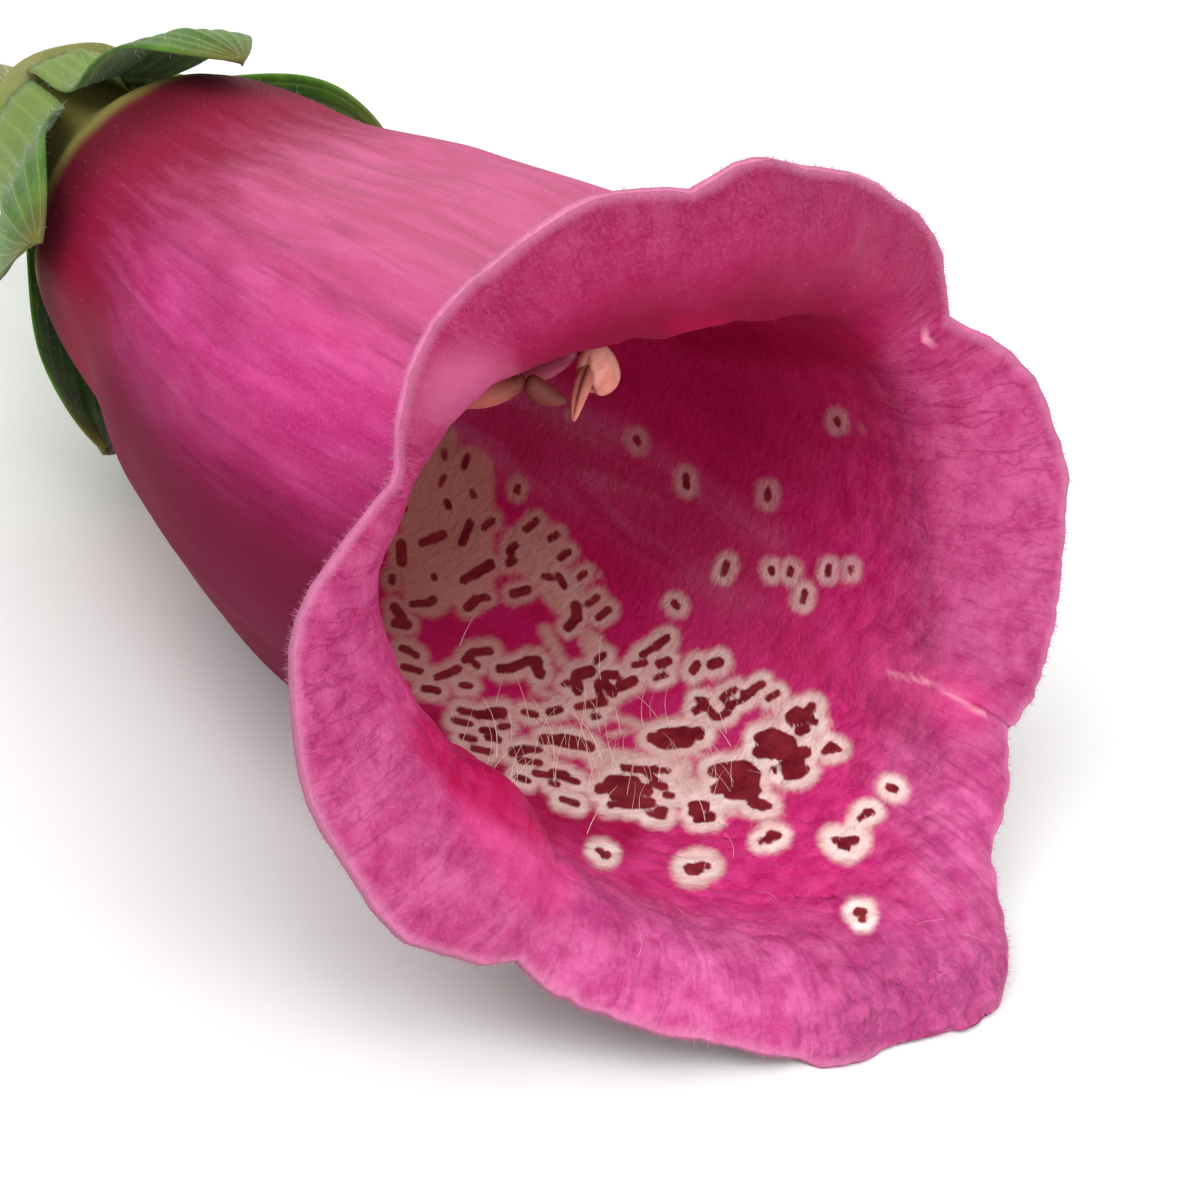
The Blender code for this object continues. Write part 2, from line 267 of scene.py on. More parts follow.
def gridQuads(rows, columns, closed=False):
    # quads over a grid of points whose columns close round it, and whose rows close too where it says so
    index = np.arange(rows * columns).reshape(rows, columns)
    right, below = np.roll(index, -1, axis=1), np.roll(index, -1, axis=0)
    quads = np.stack([index, right, np.roll(right, -1, axis=0), below], -1)
    return (quads if closed else quads[:-1]).reshape(-1, 4).tolist()


def loft(rings):
    # a closed skin over rows of closed rings: its points, and its faces
    rings = np.asarray(rings, float)
    rows, sides = rings.shape[:2]
    points = np.concatenate([rings.reshape(-1, 3), rings[:1].mean(axis=1), rings[-1:].mean(axis=1)])
    first, last, lastRow = rows * sides, rows * sides + 1, (rows - 1) * sides
    pairs = [(k, (k + 1) % sides) for k in range(sides)]
    caps = [[first, b, a] for a, b in pairs] + [[last, lastRow + a, lastRow + b] for a, b in pairs]
    return points, gridQuads(rows, sides) + caps


def ringsAlong(path, radii, sides):
    # rings round a path, which carry their turn on from one to the next; radii may vary round a ring
    path = np.asarray(path, float)
    ways = np.gradient(path, axis=0)
    ways /= np.linalg.norm(ways, axis=1)[:, None]
    aside = np.cross(ways[0], [0.3, 0.2, 0.9])  # any way that no path starts along
    turns = np.linspace(0, 2 * math.pi, sides, endpoint=False)
    rings = []
    for k, (place, way) in enumerate(zip(path, ways)):
        aside = aside - way * (aside @ way)
        aside /= np.linalg.norm(aside)
        upward = np.cross(way, aside)
        radius = np.broadcast_to(np.asarray(radii[k], float), (sides,))[:, None]
        rings.append(place + radius * (np.cos(turns)[:, None] * aside + np.sin(turns)[:, None] * upward))
    return np.array(rings)


def makePiece(name, shapes, material, values=None):
    # one object from several closed skins, with an attribute for each list of point values
    points, faces = np.zeros((0, 3)), []
    for shapePoints, shapeFaces in shapes:
        faces += [[corner + len(points) for corner in face] for face in shapeFaces]
        points = np.concatenate([points, shapePoints])
    mesh = bpy.data.meshes.new(name)
    mesh.from_pydata((points * mm).tolist(), [], faces)
    form = bmesh.new()
    form.from_mesh(mesh)
    bmesh.ops.recalc_face_normals(form, faces=form.faces)
    form.to_mesh(mesh)
    form.free()
    mesh.shade_smooth()
    mesh.materials.append(material)
    for label, value in (values or {}).items():
        setAttribute(mesh, label, value)
    piece = linked(name, mesh)
    print(name, "faces", len(faces))
    return piece


def mounted(piece, node):
    # carried by the flower; replaces the node of that name, if one is given
    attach(piece, "root")
    if node:
        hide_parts(node)


# Hairs, grown by one tree of nodes on whatever skin carries them

# A hair's middle and tip are heights in shares of its length; taper is how much thinner its tip is
hairForm = dict(middle=0.55, tip=0.92, taper=0.75, sides=3, leanSeed=3, spinSeed=5, lengthSeed=7, clearOver=0.4)


def hairTree():
    tree = bpy.data.node_groups.new("hairs", "GeometryNodeTree")
    numbers = ("Per square metre", "Length", "Shortest", "Slenderness", "Bend", "Lean")
    inputs = {"Geometry": "Geometry"} | dict.fromkeys(numbers, "Float")
    inputs |= {"Seed": "Int", "Steps": "Int", "Finish": "Material"}
    for label, kind in inputs.items():
        tree.interface.new_socket(label, in_out="INPUT", socket_type="NodeSocket" + kind)
    tree.interface.new_socket("Geometry", in_out="OUTPUT", socket_type="NodeSocketGeometry")
    size, form, random = add(tree, "NodeGroupInput").outputs, hairForm, "FunctionNodeRandomValue"
    share = add(tree, "GeometryNodeInputNamedAttribute", {"Name": "hairShare"}, data_type="FLOAT")
    density = add(tree, "ShaderNodeMath", {0: size["Per square metre"], 1: share}, operation="MULTIPLY")
    roots = add(tree, "GeometryNodeDistributePointsOnFaces",
                {"Mesh": size["Geometry"], "Density": density, "Seed": size["Seed"]})
    middle = add(tree, "ShaderNodeCombineXYZ", {"X": 0.0, "Z": form["middle"]})
    tip = add(tree, "ShaderNodeCombineXYZ", {"X": size["Bend"], "Z": form["tip"]})
    line = add(tree, "GeometryNodeCurveQuadraticBezier",
               {"Resolution": size["Steps"], "Start": (0, 0, 0), "Middle": middle, "End": tip})
    along = add(tree, "GeometryNodeSplineParameter").outputs["Factor"]
    taper = add(tree, "ShaderNodeMath", {0: along, 1: -form["taper"], 2: 1.0}, operation="MULTIPLY_ADD")
    radius = add(tree, "ShaderNodeMath", {0: taper, 1: size["Slenderness"]}, operation="MULTIPLY")
    ring = add(tree, "GeometryNodeCurvePrimitiveCircle", {"Resolution": form["sides"], "Radius": 1.0})
    hair = add(tree, "GeometryNodeCurveToMesh", {
        "Curve": line, "Profile Curve": ring, "Scale": radius, "Fill Caps": True})
    leaning = add(tree, random, {"Min": -1.0, "Max": 1.0, "Seed": form["leanSeed"]}, data_type="FLOAT")
    lean = add(tree, "ShaderNodeMath", {0: leaning, 1: size["Lean"]}, operation="MULTIPLY")
    spin = add(tree, random, {"Min": 0.0, "Max": 2 * math.pi, "Seed": form["spinSeed"]}, data_type="FLOAT")
    angles = add(tree, "ShaderNodeCombineXYZ", {"X": lean, "Z": spin})
    turn = add(tree, "FunctionNodeEulerToRotation", {"Euler": angles})
    rotation = add(tree, "FunctionNodeRotateRotation",
                   {"Rotation": roots.outputs["Rotation"], "Rotate By": turn}, rotation_space="LOCAL")
    lengths = {"Min": size["Shortest"], "Max": size["Length"], "Seed": form["lengthSeed"]}
    planted = add(tree, "GeometryNodeInstanceOnPoints", {
        "Points": roots.outputs["Points"], "Instance": hair, "Rotation": rotation,
        "Scale": add(tree, random, lengths, data_type="FLOAT")})
    solid = add(tree, "GeometryNodeRealizeInstances", {"Geometry": planted})
    finished = add(tree, "GeometryNodeSetMaterial", {"Geometry": solid, "Material": size["Finish"]})
    add(tree, "NodeGroupOutput", {"Geometry": finished})
    return tree


hairNodes = hairTree()


def growHairs(name, carrier, share, sizes, finish):
    # hairs on the carrier's skin, as thick as share says at each of its points
    skinCopy = carrier.data.copy()
    heights = np.zeros(len(skinCopy.vertices) * 3, np.float32)
    skinCopy.vertices.foreach_get("co", heights)
    over = hairForm["clearOver"]  # none grow where the flower lies on the floor
    clear = ease((heights[2::3] / mm - min(sizes["length"], over)) / over)
    setAttribute(skinCopy, "hairShare", share * clear)
    bed = linked(name + "_bed", skinCopy)
    modifier = bed.modifiers.new("hairs", "NODES")
    modifier.node_group = hairNodes
    values = {
        "Per square metre": sizes["perSquareMm"] / mm**2, "Slenderness": sizes["radius"] / sizes["length"],
        "Length": sizes["length"] * mm, "Shortest": sizes["shortest"] * mm, "Bend": sizes["bend"],
        "Lean": sizes["lean"], "Seed": sizes["seed"], "Steps": sizes["steps"], "Finish": finish,
    }
    for item in hairNodes.interface.items_tree:
        if item.in_out == "INPUT" and item.name in values:
            modifier[item.identifier] = values[item.name]
    bpy.context.view_layer.update()
    grown = bed.evaluated_get(bpy.context.evaluated_depsgraph_get())
    mesh = bpy.data.meshes.new_from_object(grown)
    mesh.name = name
    bpy.data.objects.remove(bed)
    bpy.data.meshes.remove(skinCopy)
    mesh.shade_smooth()
    mounted(linked(name, mesh), None)
    print(name, "faces", len(mesh.polygons))


# Corolla: shape

tube = dict(
    along=[0.0, 2.8, 8.5, 14.0, 20.0, 27.5, 35.0, 42.5],
    radius=[2.5, 2.7, 5.75, 6.95, 8.9, 9.9, 9.8, 9.8],
    roundUntil=5.5, roundFades=18.0, roofFlattening=2.0,
    bellyFold=0.4, foldAngle=58.0, foldSpread=16.0,
    bellySag=1.0, sagAlong=15.0, sagSpread=7.0,
    shoulder=1.5, shoulderAngle=-127.0, shoulderWidth=37.0, shoulderFrom=18.0, shoulderOver=16.0,
    dimple=0.87, dimpleWidth=14.0, dimpleFrom=27.0, dimpleOver=9.0,
)
lip = dict(
    startBelly=45.6, startSide=36.5, startRoof=37.3,
    notchAngle=[-172.0, -116.6, -52.0, 52.0, 117.0, 188.0],
    notchReach=[5.0, 0.5, 3.5, 1.8, 1.7, 5.0],
    lobeReach=[4.25, 5.4, 3.65, 3.95, 4.2],
    fullness=2.4, crown=0.625, cornerAngle=14.3, cornerWidth=13.0, cornerReach=1.67,
    bellyUntil=38.0, roofFrom=112.0, partBlend=28.0,
    turn=dict(belly=81.0, side=86.0, roof=116.0), onset=dict(belly=1.11, side=0.61, roof=0.54),
)
skin = dict(
    wall=0.6, rimWall=0.26, wallOver=5.0, rimBulge=0.45, footIn=0.15, footInside=50.0,
    columns=[(-78.0, 36), (-30.0, 142), (68.0, 34), (112.0, 54)],  # where a stretch starts, and its columns
    rowsCrowd=0.72, lipSteps=4,
    outerTubeRows=70, outerLipRows=26, innerTubeRows=184, innerLipRows=72,
    flowRadius=10.0, ringRadius=12.0, headingShare=1 / 19, foldFade=2.5, flatFade=1.2, ruffleDepth=3.5,
    ribsFrom=3.0, ribsOver=6.0, puckersFrom=30.0, puckersOver=10.0,
    ruffle=dict(height=0.16, wavelength=6.0, seed=11), puckers=dict(height=0.035, wavelength=0.9, seed=31),
    ribs=dict(height=0.05, wavelength=2.2, seed=23, stretch=(1, 7, 1)),
    rimJags=dict(height=0.06, wavelength=3.4, seed=5), rimNicks=dict(height=0.03, wavelength=0.45, seed=6),
)
# The crumpled tip of the lower lip
corner = dict(
    angle=9.0, spread=14.0, reach=2.6, rimFade=0.5, crumple=dict(height=0.13, wavelength=0.8, seed=37))
# Where the lobes' edge swells out or draws in: millimetres, over degrees either side of an angle
rimSwells = [
    dict(angle=-182.0, width=5.5, reach=0.32), dict(angle=-171.0, width=7.0, reach=-0.48),
    dict(angle=-157.5, width=5.5, reach=0.35), dict(angle=-83.0, width=8.0, reach=0.3),
    dict(angle=-65.0, width=8.0, reach=0.45), dict(angle=-47.0, width=8.0, reach=0.7),
    dict(angle=-24.0, width=9.0, reach=-0.5), dict(angle=-10.5, width=2.2, reach=0.35),
    dict(angle=33.0, width=6.0, reach=-0.55), dict(angle=88.0, width=5.0, reach=0.22),
]
# Sharp folds along the flower: minus draws in towards the axis. A fold runs from its start to its reach
folds = [
    dict(angle=50.0, width=5.0, height=-0.3, start=29.0, over=9.0, rimShare=0.4),
    dict(angle=-60.0, width=6.0, height=-0.35, start=26.0, over=9.0, rimShare=0.2),
    dict(angle=-50.0, width=3.0, height=0.22, start=38.0, over=5.0, rimShare=0.5),
    dict(angle=117.0, width=3.2, height=-0.45, start=33.0, over=6.0, rimShare=1.0),
    dict(angle=-12.0, width=3.0, height=0.30, start=45.8, over=2.4, rimShare=1.0),
    dict(angle=-6.0, width=3.4, height=-0.26, start=45.8, over=2.4, rimShare=1.0),
]


def tubeOutline(along, angle):
    # radius of the tube's outer face
    along = np.asarray(along, float)
    turn = np.cos(np.radians(angle))
    flattened = tube["roofFlattening"] * np.clip(-turn, 0, 1) ** 1.5 + tube["bellyFold"] * hump(
        np.abs(wrapped(angle)), tube["foldAngle"], tube["foldSpread"])
    sag = tube["bellySag"] * hump(along, tube["sagAlong"], tube["sagSpread"]) * np.clip(turn, 0, 1) ** 4
    full = tube["shoulder"] * hump(wrapped(angle - tube["shoulderAngle"]), 0, tube["shoulderWidth"])
    drawnIn = tube["dimple"] * hump(wrapped(angle - lip["notchAngle"][1]), 0, tube["dimpleWidth"])
    return (
        curveThrough(along, tube["along"], tube["radius"])
        - flattened * ease((along - tube["roundUntil"]) / tube["roundFades"])
        + sag
        + full * ease((along - tube["shoulderFrom"]) / tube["shoulderOver"])
        - drawnIn * ease((along - tube["dimpleFrom"]) / tube["dimpleOver"])
    )


def lipStart(angle):
    turn = np.cos(np.radians(angle))
    middle = (lip["startBelly"] + lip["startRoof"]) / 2
    lean = (lip["startBelly"] - lip["startRoof"]) / 2
    return lip["startSide"] + lean * turn + (middle - lip["startSide"]) * turn**2


def lipReach(angle):
    # length of the lip past the tube: five round lobes between notches
    notches, depths = lip["notchAngle"], lip["notchReach"]
    a = (np.asarray(angle, float) - notches[0]) % 360.0 + notches[0]
    reach = np.interp(a, notches, depths)
    for low, high, longest in zip(notches[:-1], notches[1:], lip["lobeReach"]):
        across = np.clip(2 * (a - low) / (high - low) - 1, -1, 1)
        crown = (1 - np.abs(across) ** lip["fullness"]) ** lip["crown"]
        reach = reach + (longest - np.interp((low + high) / 2, notches, depths)) * crown
    return reach + lip["cornerReach"] * hump(a, lip["cornerAngle"], lip["cornerWidth"])


def lipTurn(angle):
    # how far the lip turns out by its rim, and the power by which the turn sets in
    a = np.abs(wrapped(angle))
    belly = 1 - ease((a - lip["bellyUntil"]) / lip["partBlend"])
    roof = ease((a - lip["roofFrom"]) / lip["partBlend"])
    shares = dict(belly=belly, side=1 - belly - roof, roof=roof)
    turn = sum(shares[k] * lip["turn"][k] for k in shares)
    onset = sum(shares[k] * lip["onset"][k] for k in shares)
    return np.radians(turn), onset


def columnAngles():
    # closest where the marks are
    starts = [start for start, _ in skin["columns"]]
    ends = starts[1:] + [starts[0] + 360.0]
    return np.concatenate([np.linspace(start, end, count, endpoint=False)
                           for (start, count), end in zip(skin["columns"], ends)])


def jagged(angle):
    # swells, and soft and fine jags, of the rim
    around = np.radians(angle)
    swells = sum(edge["reach"] * hump(wrapped(angle - edge["angle"]), 0, edge["width"]) for edge in rimSwells)
    ring = skin["ringRadius"] * np.stack([np.sin(around), np.cos(around), 0 * around], -1)
    return swells + swell(ring, **skin["rimJags"]) + swell(ring, **skin["rimNicks"])


def profileRows(angle, tubeRows, lipRows):
    # radius and along for rows from the foot to the rim
    start = lipStart(angle)
    downs = np.linspace(0, 1, tubeRows + 1) ** skin["rowsCrowd"]  # rows crowd towards the mouth
    rows = [(tubeOutline(start * down, angle), start * down) for down in downs]
    radius, along = rows[-1]
    behind = start * (1 - skin["headingShare"])  # the solids' own last stretch sets the lip's heading
    heading = np.arctan2(radius - tubeOutline(behind, angle), along - behind)
    reach, (turn, onset) = lipReach(angle) + jagged(angle), lipTurn(angle)
    fine = skin["lipSteps"]
    steps = lipRows * fine
    for k in range(steps):
        way = heading + turn * ((k + 0.5) / steps) ** onset
        radius = radius + np.sin(way) * reach / steps
        along = along + np.cos(way) * reach / steps
        if (k + 1) % fine == 0:
            rows.append((radius, along))
    return rows


def sheetNormals(points):
    # outward normals of a sheet whose columns close round it
    across = np.roll(points, -1, axis=1) - np.roll(points, 1, axis=1)
    down = np.gradient(points, axis=0)
    normals = np.cross(across, down)
    return normals / np.maximum(np.linalg.norm(normals, axis=-1), 1e-9)[..., None]


def relief(points, angle, along, fromRim):
    # how far the skin stands out from its plain form
    a = wrapped(angle)[None, :] + 0 * along
    nearRim = np.exp(-fromRim / skin["ruffleDepth"])
    lift = swell(points, **skin["ruffle"]) * nearRim
    for fold in folds:
        run = ease((along - fold["start"]) / fold["over"])
        fading = fold["rimShare"] + (1 - fold["rimShare"]) * ease(fromRim / skin["foldFade"])
        lift = lift + fold["height"] * hump(wrapped(a - fold["angle"]), 0, fold["width"]) * run * fading
    ribs = swell(points, **skin["ribs"]) * ease((along - skin["ribsFrom"]) / skin["ribsOver"])
    puckers = swell(points, **skin["puckers"]) * ease((along - skin["puckersFrom"]) / skin["puckersOver"])
    return lift + (ribs + puckers) * ease(points[..., 2] / skin["flatFade"])


def corollaSheet(angle, tubeRows, lipRows):
    # the outer face's points, and facts of each: along, and its distances from the foot and the rim
    rows = profileRows(angle, tubeRows, lipRows)
    plain = np.array([aroundAxis(radius, along, angle) for radius, along in rows])
    along = np.array([along for _, along in rows])
    steps = np.linalg.norm(np.diff(plain, axis=0), axis=-1)
    fromFoot = np.concatenate([np.zeros((1, len(angle))), np.cumsum(steps, axis=0)])
    fromRim = fromFoot[-1] - fromFoot
    points = plain + sheetNormals(plain) * relief(plain, angle, along, fromRim)[..., None]
    points[..., 2] = np.maximum(points[..., 2], 0.0)  # pressed flat where it lies
    return points, dict(along=along, fromRim=fromRim, fromFoot=fromFoot)


# Corolla: the marks on its throat, placed in the picture. Each stroke is x1, y1, x2, y2 and half its
# width, in the picture's pixels, and strokes that touch make one blotch.

lipMarks = [
    (598, 850, 600, 850, 2.5), (604, 855, 607, 855, 4.5),
    (761, 841, 772, 840, 3.5), (770, 834, 778, 836, 4.8), (860, 818, 868, 813, 4), (866, 812, 872, 812, 4),
    (889, 787, 896, 790, 4.2),
    (857, 912, 863, 912, 4.8), (861, 919, 864, 919, 3.2),
    (693, 806, 706, 806, 5.5), (692, 813, 700, 812, 4.5), (697, 818, 712, 817, 5.2),
    (650, 814, 656, 814, 3.5), (659, 811, 664, 811, 4.8), (658, 816, 664, 816, 3),
    (665, 795, 672, 796, 3.8), (825, 751, 833, 747, 4.5), (830, 745, 833, 750, 4), (837, 748, 839, 749, 2.8),
    (562, 799, 577, 804, 2.8),
]
wideMarks = [
    (688, 868, 700, 868, 5), (697, 863, 708, 866, 3.5), (690, 872, 697, 872, 3),
    (834, 840, 845, 841, 3.5), (845, 842, 855, 840, 5), (840, 846, 848, 848, 3),
]
bigMarks = [
    (759, 738, 775, 733, 6), (775, 736, 790, 742, 7), (758, 752, 775, 752, 6.5), (770, 748, 790, 752, 10),
    (788, 756, 806, 752, 6.5), (785, 765, 800, 762, 6), (772, 770, 780, 768, 3.5), (786, 774, 800, 773, 6),
    (797, 775, 806, 770, 4.5),
    (713, 771, 725, 768, 6), (722, 770, 745, 767, 7.5), (745, 767, 755, 775, 7), (727, 782, 750, 782, 10),
    (715, 789, 730, 789, 5.5), (730, 793, 752, 793, 7), (752, 785, 757, 790, 5), (752, 802, 762, 805, 6),
    (757, 804, 768, 806, 4.5),
    (600, 789, 612, 786, 6), (612, 784, 632, 784, 9), (630, 786, 648, 790, 6), (616, 795, 636, 793, 7),
    (610, 805, 625, 803, 3.5), (625, 803, 650, 803, 6),
    (642, 770, 655, 769, 4), (655, 770, 668, 771, 2.8), (650, 775, 657, 784, 4.5), (655, 785, 664, 786, 4.5),
    (652, 738, 664, 738, 6), (664, 739, 686, 737, 11), (686, 735, 699, 733, 7),
    (790, 717, 797, 711, 5.5), (804, 715, 812, 707, 5.5), (805, 720, 816, 722, 3.5), (789, 722, 797, 718, 3.2),
    (799, 731, 806, 729, 5),
]
throatMarks = [
    (697, 700, 706, 700, 3.5), (695, 711, 706, 706, 4.5), (706, 706, 714, 716, 4), (712, 717, 722, 717, 3.5),
    (726, 713, 732, 705, 4.5), (728, 704, 738, 702, 3.5), (722, 698, 729, 692, 3), (729, 692, 736, 689, 2.8),
    (745, 695, 752, 692, 5), (752, 690, 762, 684, 4.5), (738, 702, 748, 697, 3), (768, 699, 778, 693, 3.2),
    (642, 655, 655, 647, 4), (655, 647, 667, 638, 4.5), (634, 665, 645, 663, 3.8), (659, 664, 668, 661, 5),
    (655, 678, 666, 675, 3.4), (693, 671, 697, 664, 4.8), (711, 665, 719, 662, 5.8), (621, 686, 633, 681, 6),
    (597, 660, 604, 655, 4), (604, 675, 616, 675, 4.8), (605, 684, 613, 692, 5.5), (597, 682, 600, 698, 3.5),
    (577, 675, 590, 671, 6.5), (576, 680, 578, 690, 6), (564, 684, 567, 683, 3.8),
    (577, 707, 590, 704, 4), (590, 704, 604, 702, 5), (593, 717, 598, 716, 2.8), (549, 712, 560, 709, 4.2),
    (524, 712, 536, 715, 3), (459, 710, 473, 713, 3.6), (479, 715, 490, 714, 5.2), (490, 714, 502, 713, 6.5),
    (454, 720, 470, 724, 3), (500, 727, 508, 726, 2.8), (482, 730, 494, 731, 3), (462, 737, 475, 739, 2.4),
    (487, 737, 499, 740, 3.2), (473, 748, 490, 752, 2.6),
    (513, 752, 523, 750, 5.5), (523, 749, 540, 750, 3.5), (520, 760, 540, 763, 3),
    (543, 739, 560, 740, 5.5), (560, 740, 578, 743, 7), (578, 744, 590, 747, 5.5),
    (517, 777, 528, 781, 2.8), (535, 773, 550, 776, 3), (553, 773, 565, 776, 5), (565, 778, 578, 782, 3.5),
    (551, 783, 557, 784, 2.4), (623, 767, 640, 770, 3.8),
    (465, 660, 473, 652, 4.5), (473, 652, 490, 651, 4.5), (471, 660, 478, 666, 3.4),
    (437, 677, 447, 674, 4), (445, 675, 458, 669, 4.6), (424, 688, 438, 691, 4), (462, 685, 470, 686, 2.8),
    (500, 669, 514, 668, 5), (514, 667, 528, 661, 5), (528, 661, 538, 661, 5.5), (536, 664, 540, 674, 6),
    (402, 648, 408, 650, 4), (408, 650, 417, 656, 3), (403, 667, 414, 669, 2.8), (416, 670, 420, 671, 4),
]
deepMarks = [
    (394, 607, 403, 618, 5), (395, 623, 408, 625, 5), (412, 604, 428, 603, 3.8), (428, 603, 433, 600, 5),
    (468, 607, 476, 600, 5.5), (476, 600, 487, 597, 4), (576, 606, 577, 618, 6), (577, 618, 568, 627, 5.5),
    (588, 604, 597, 597, 4), (599, 617, 608, 610, 4.6), (513, 594, 527, 590, 5), (464, 580, 476, 573, 5),
    (476, 573, 490, 565, 6), (545, 577, 551, 577, 4.2), (558, 576, 564, 586, 4), (579, 578, 585, 573, 3.8),
    (560, 558, 568, 552, 4.2), (550, 539, 557, 535, 4.2), (526, 529, 537, 521, 4.4), (510, 550, 515, 545, 4.6),
    (509, 563, 513, 561, 4.8), (512, 550, 511, 560, 2.6), (401, 544, 402, 562, 5.5), (392, 577, 392, 581, 4),
    (422, 543, 434, 538, 4.5), (434, 538, 442, 535, 5.5), (470, 523, 466, 534, 4.5), (466, 534, 462, 542, 5),
    (484, 527, 492, 521, 4.2), (404, 508, 399, 514, 3.8), (447, 502, 449, 507, 4), (444, 477, 440, 484, 3.8),
    (472, 492, 474, 496, 3), (468, 457, 464, 467, 4), (444, 450, 444, 458, 3.6), (518, 486, 517, 492, 3),
    (434, 576, 435, 579, 2.8),
]
wallMarks = [
    (686, 476, 687, 487, 3), (768, 491, 768, 499, 4.2), (727, 563, 723, 574, 3.2), (771, 568, 772, 573, 3),
    (791, 569, 790, 574, 3.2), (829, 567, 828, 574, 3.2), (851, 568, 851, 572, 3), (805, 592, 802, 602, 2.8),
    (674, 603, 677, 606, 4.2), (636, 438, 638, 443, 3.4), (836, 419, 838, 424, 2.4),
]
palePatches = [  # pale ground with no dark core: x1, y1, x2, y2, half width
    (430, 440, 430, 590, 30), (470, 470, 470, 590, 26), (520, 545, 570, 600, 22), (590, 640, 600, 660, 14),
    (600, 760, 680, 770, 16), (680, 790, 730, 800, 18), (568, 412, 568, 418, 5), (860, 425, 864, 432, 3),
    (598, 573, 600, 577, 4), (545, 630, 562, 662, 9), (535, 690, 640, 726, 7), (610, 735, 640, 728, 5),
]
tintBands = dict(
    crimson=[(425, 735, 470, 772, 9), (470, 772, 540, 815, 18), (540, 805, 620, 832, 9), (690, 335, 860, 352, 6)],
    hot=[(690, 610, 800, 645, 22), (800, 645, 960, 702, 10), (490, 815, 545, 880, 12)],
    crease=[(890, 673, 932, 684, 0.5), (932, 684, 984, 714, 0.3), (921, 338, 932, 341, 1.5)],
    # streaky: streaks on the throat wall, real, and lightened there as painted light
    streaky=[(470, 400, 600, 470, 24), (600, 470, 745, 565, 18)],
    # dusky: the crumpled tip of the lower lip, darkened along its creases and where it bends down: painted shade
    dusky=[(860, 1035, 960, 1010, 16), (900, 985, 990, 980, 8)],
)
bandSoftness = dict(crimson=24.0, hot=34.0, crease=3.5, streaky=52.0, dusky=75.0)  # in pixels
markLook = dict(
    pixelsPerMm=33.0, thinnest=3.6, none=4.0, deepest=-2.0, facing=0.05,
    nearLobe=(-150.0, -44.0), nearLobeFrom=31.0,
)
# How wide the pale ground stands round each group's marks, in pixels
haloWidths = [
    (lipMarks, 12.0), (wideMarks, 15.0), (bigMarks, 13.0), (throatMarks, 11.0), (deepMarks, 9.5), (wallMarks, 10.5)]
hiddenMarks = dict(
    seed=71, tries=900, angle=(-60.0, 20.0), along=(15.0, 41.0), apart=1.55, half=(0.18, 0.5), stretch=1.8,
    halo=0.38, clearOfSight=0.1, clearOfWall=0.5, everyRow=3, everyColumn=2,
)


def strokeDistance(spots, strokes):
    # signed distance in pixels from each spot to the nearest stroke's edge
    nearest = np.full(len(spots), 1e3)
    for x1, y1, x2, y2, half in strokes:
        start, way = np.array([x1, y1], float), np.array([x2 - x1, y2 - y1], float)
        length = max(float(way @ way), 1e-6)
        share = np.clip((spots - start) @ way / length, 0, 1)
        nearest = np.minimum(nearest, np.linalg.norm(spots - start - share[:, None] * way, axis=1) - half)
    return nearest


def shadedBy(points, flat, toEye):
    # which points the flower's own wall hides from the camera: a ray from them towards it meets the wall again
    coarse = points[::hiddenMarks["everyRow"], ::hiddenMarks["everyColumn"]]
    wall = BVHTree.FromPolygons(coarse.reshape(-1, 3).tolist(), gridQuads(*coarse.shape[:2]))
    starts = flat + toEye * hiddenMarks["clearOfWall"]
    return np.array([wall.ray_cast(start, way)[0] is not None for start, way in zip(starts, toEye)])


def scatterMarks(flat, a, along, hidden):
    # blotches on the part of the floor that the picture hides: a random spread, kept apart and out of its sight
    draw = np.random.default_rng(hiddenMarks["seed"])
    kept = []
    free = hidden & (a > hiddenMarks["angle"][0]) & (a < hiddenMarks["angle"][1])
    free &= (along > hiddenMarks["along"][0]) & (along < hiddenMarks["along"][1])
    watched = flat[~hidden]
    places = np.flatnonzero(free)
    distance = np.full(len(flat), markLook["none"])
    for _ in range(hiddenMarks["tries"]):
        centre = flat[draw.choice(places)]
        half = draw.uniform(*hiddenMarks["half"])
        if any(np.linalg.norm(centre - other) < hiddenMarks["apart"] for other in kept):
            continue
        room = half * hiddenMarks["stretch"] + hiddenMarks["halo"] + hiddenMarks["clearOfSight"]
        if np.linalg.norm(watched - centre, axis=1).min() < room:
            continue
        kept.append(centre)
        way = (flat - centre) / np.array([1.0, hiddenMarks["stretch"], 1.0])
        distance = np.minimum(distance, np.linalg.norm(way, axis=1) - half)
    return distance


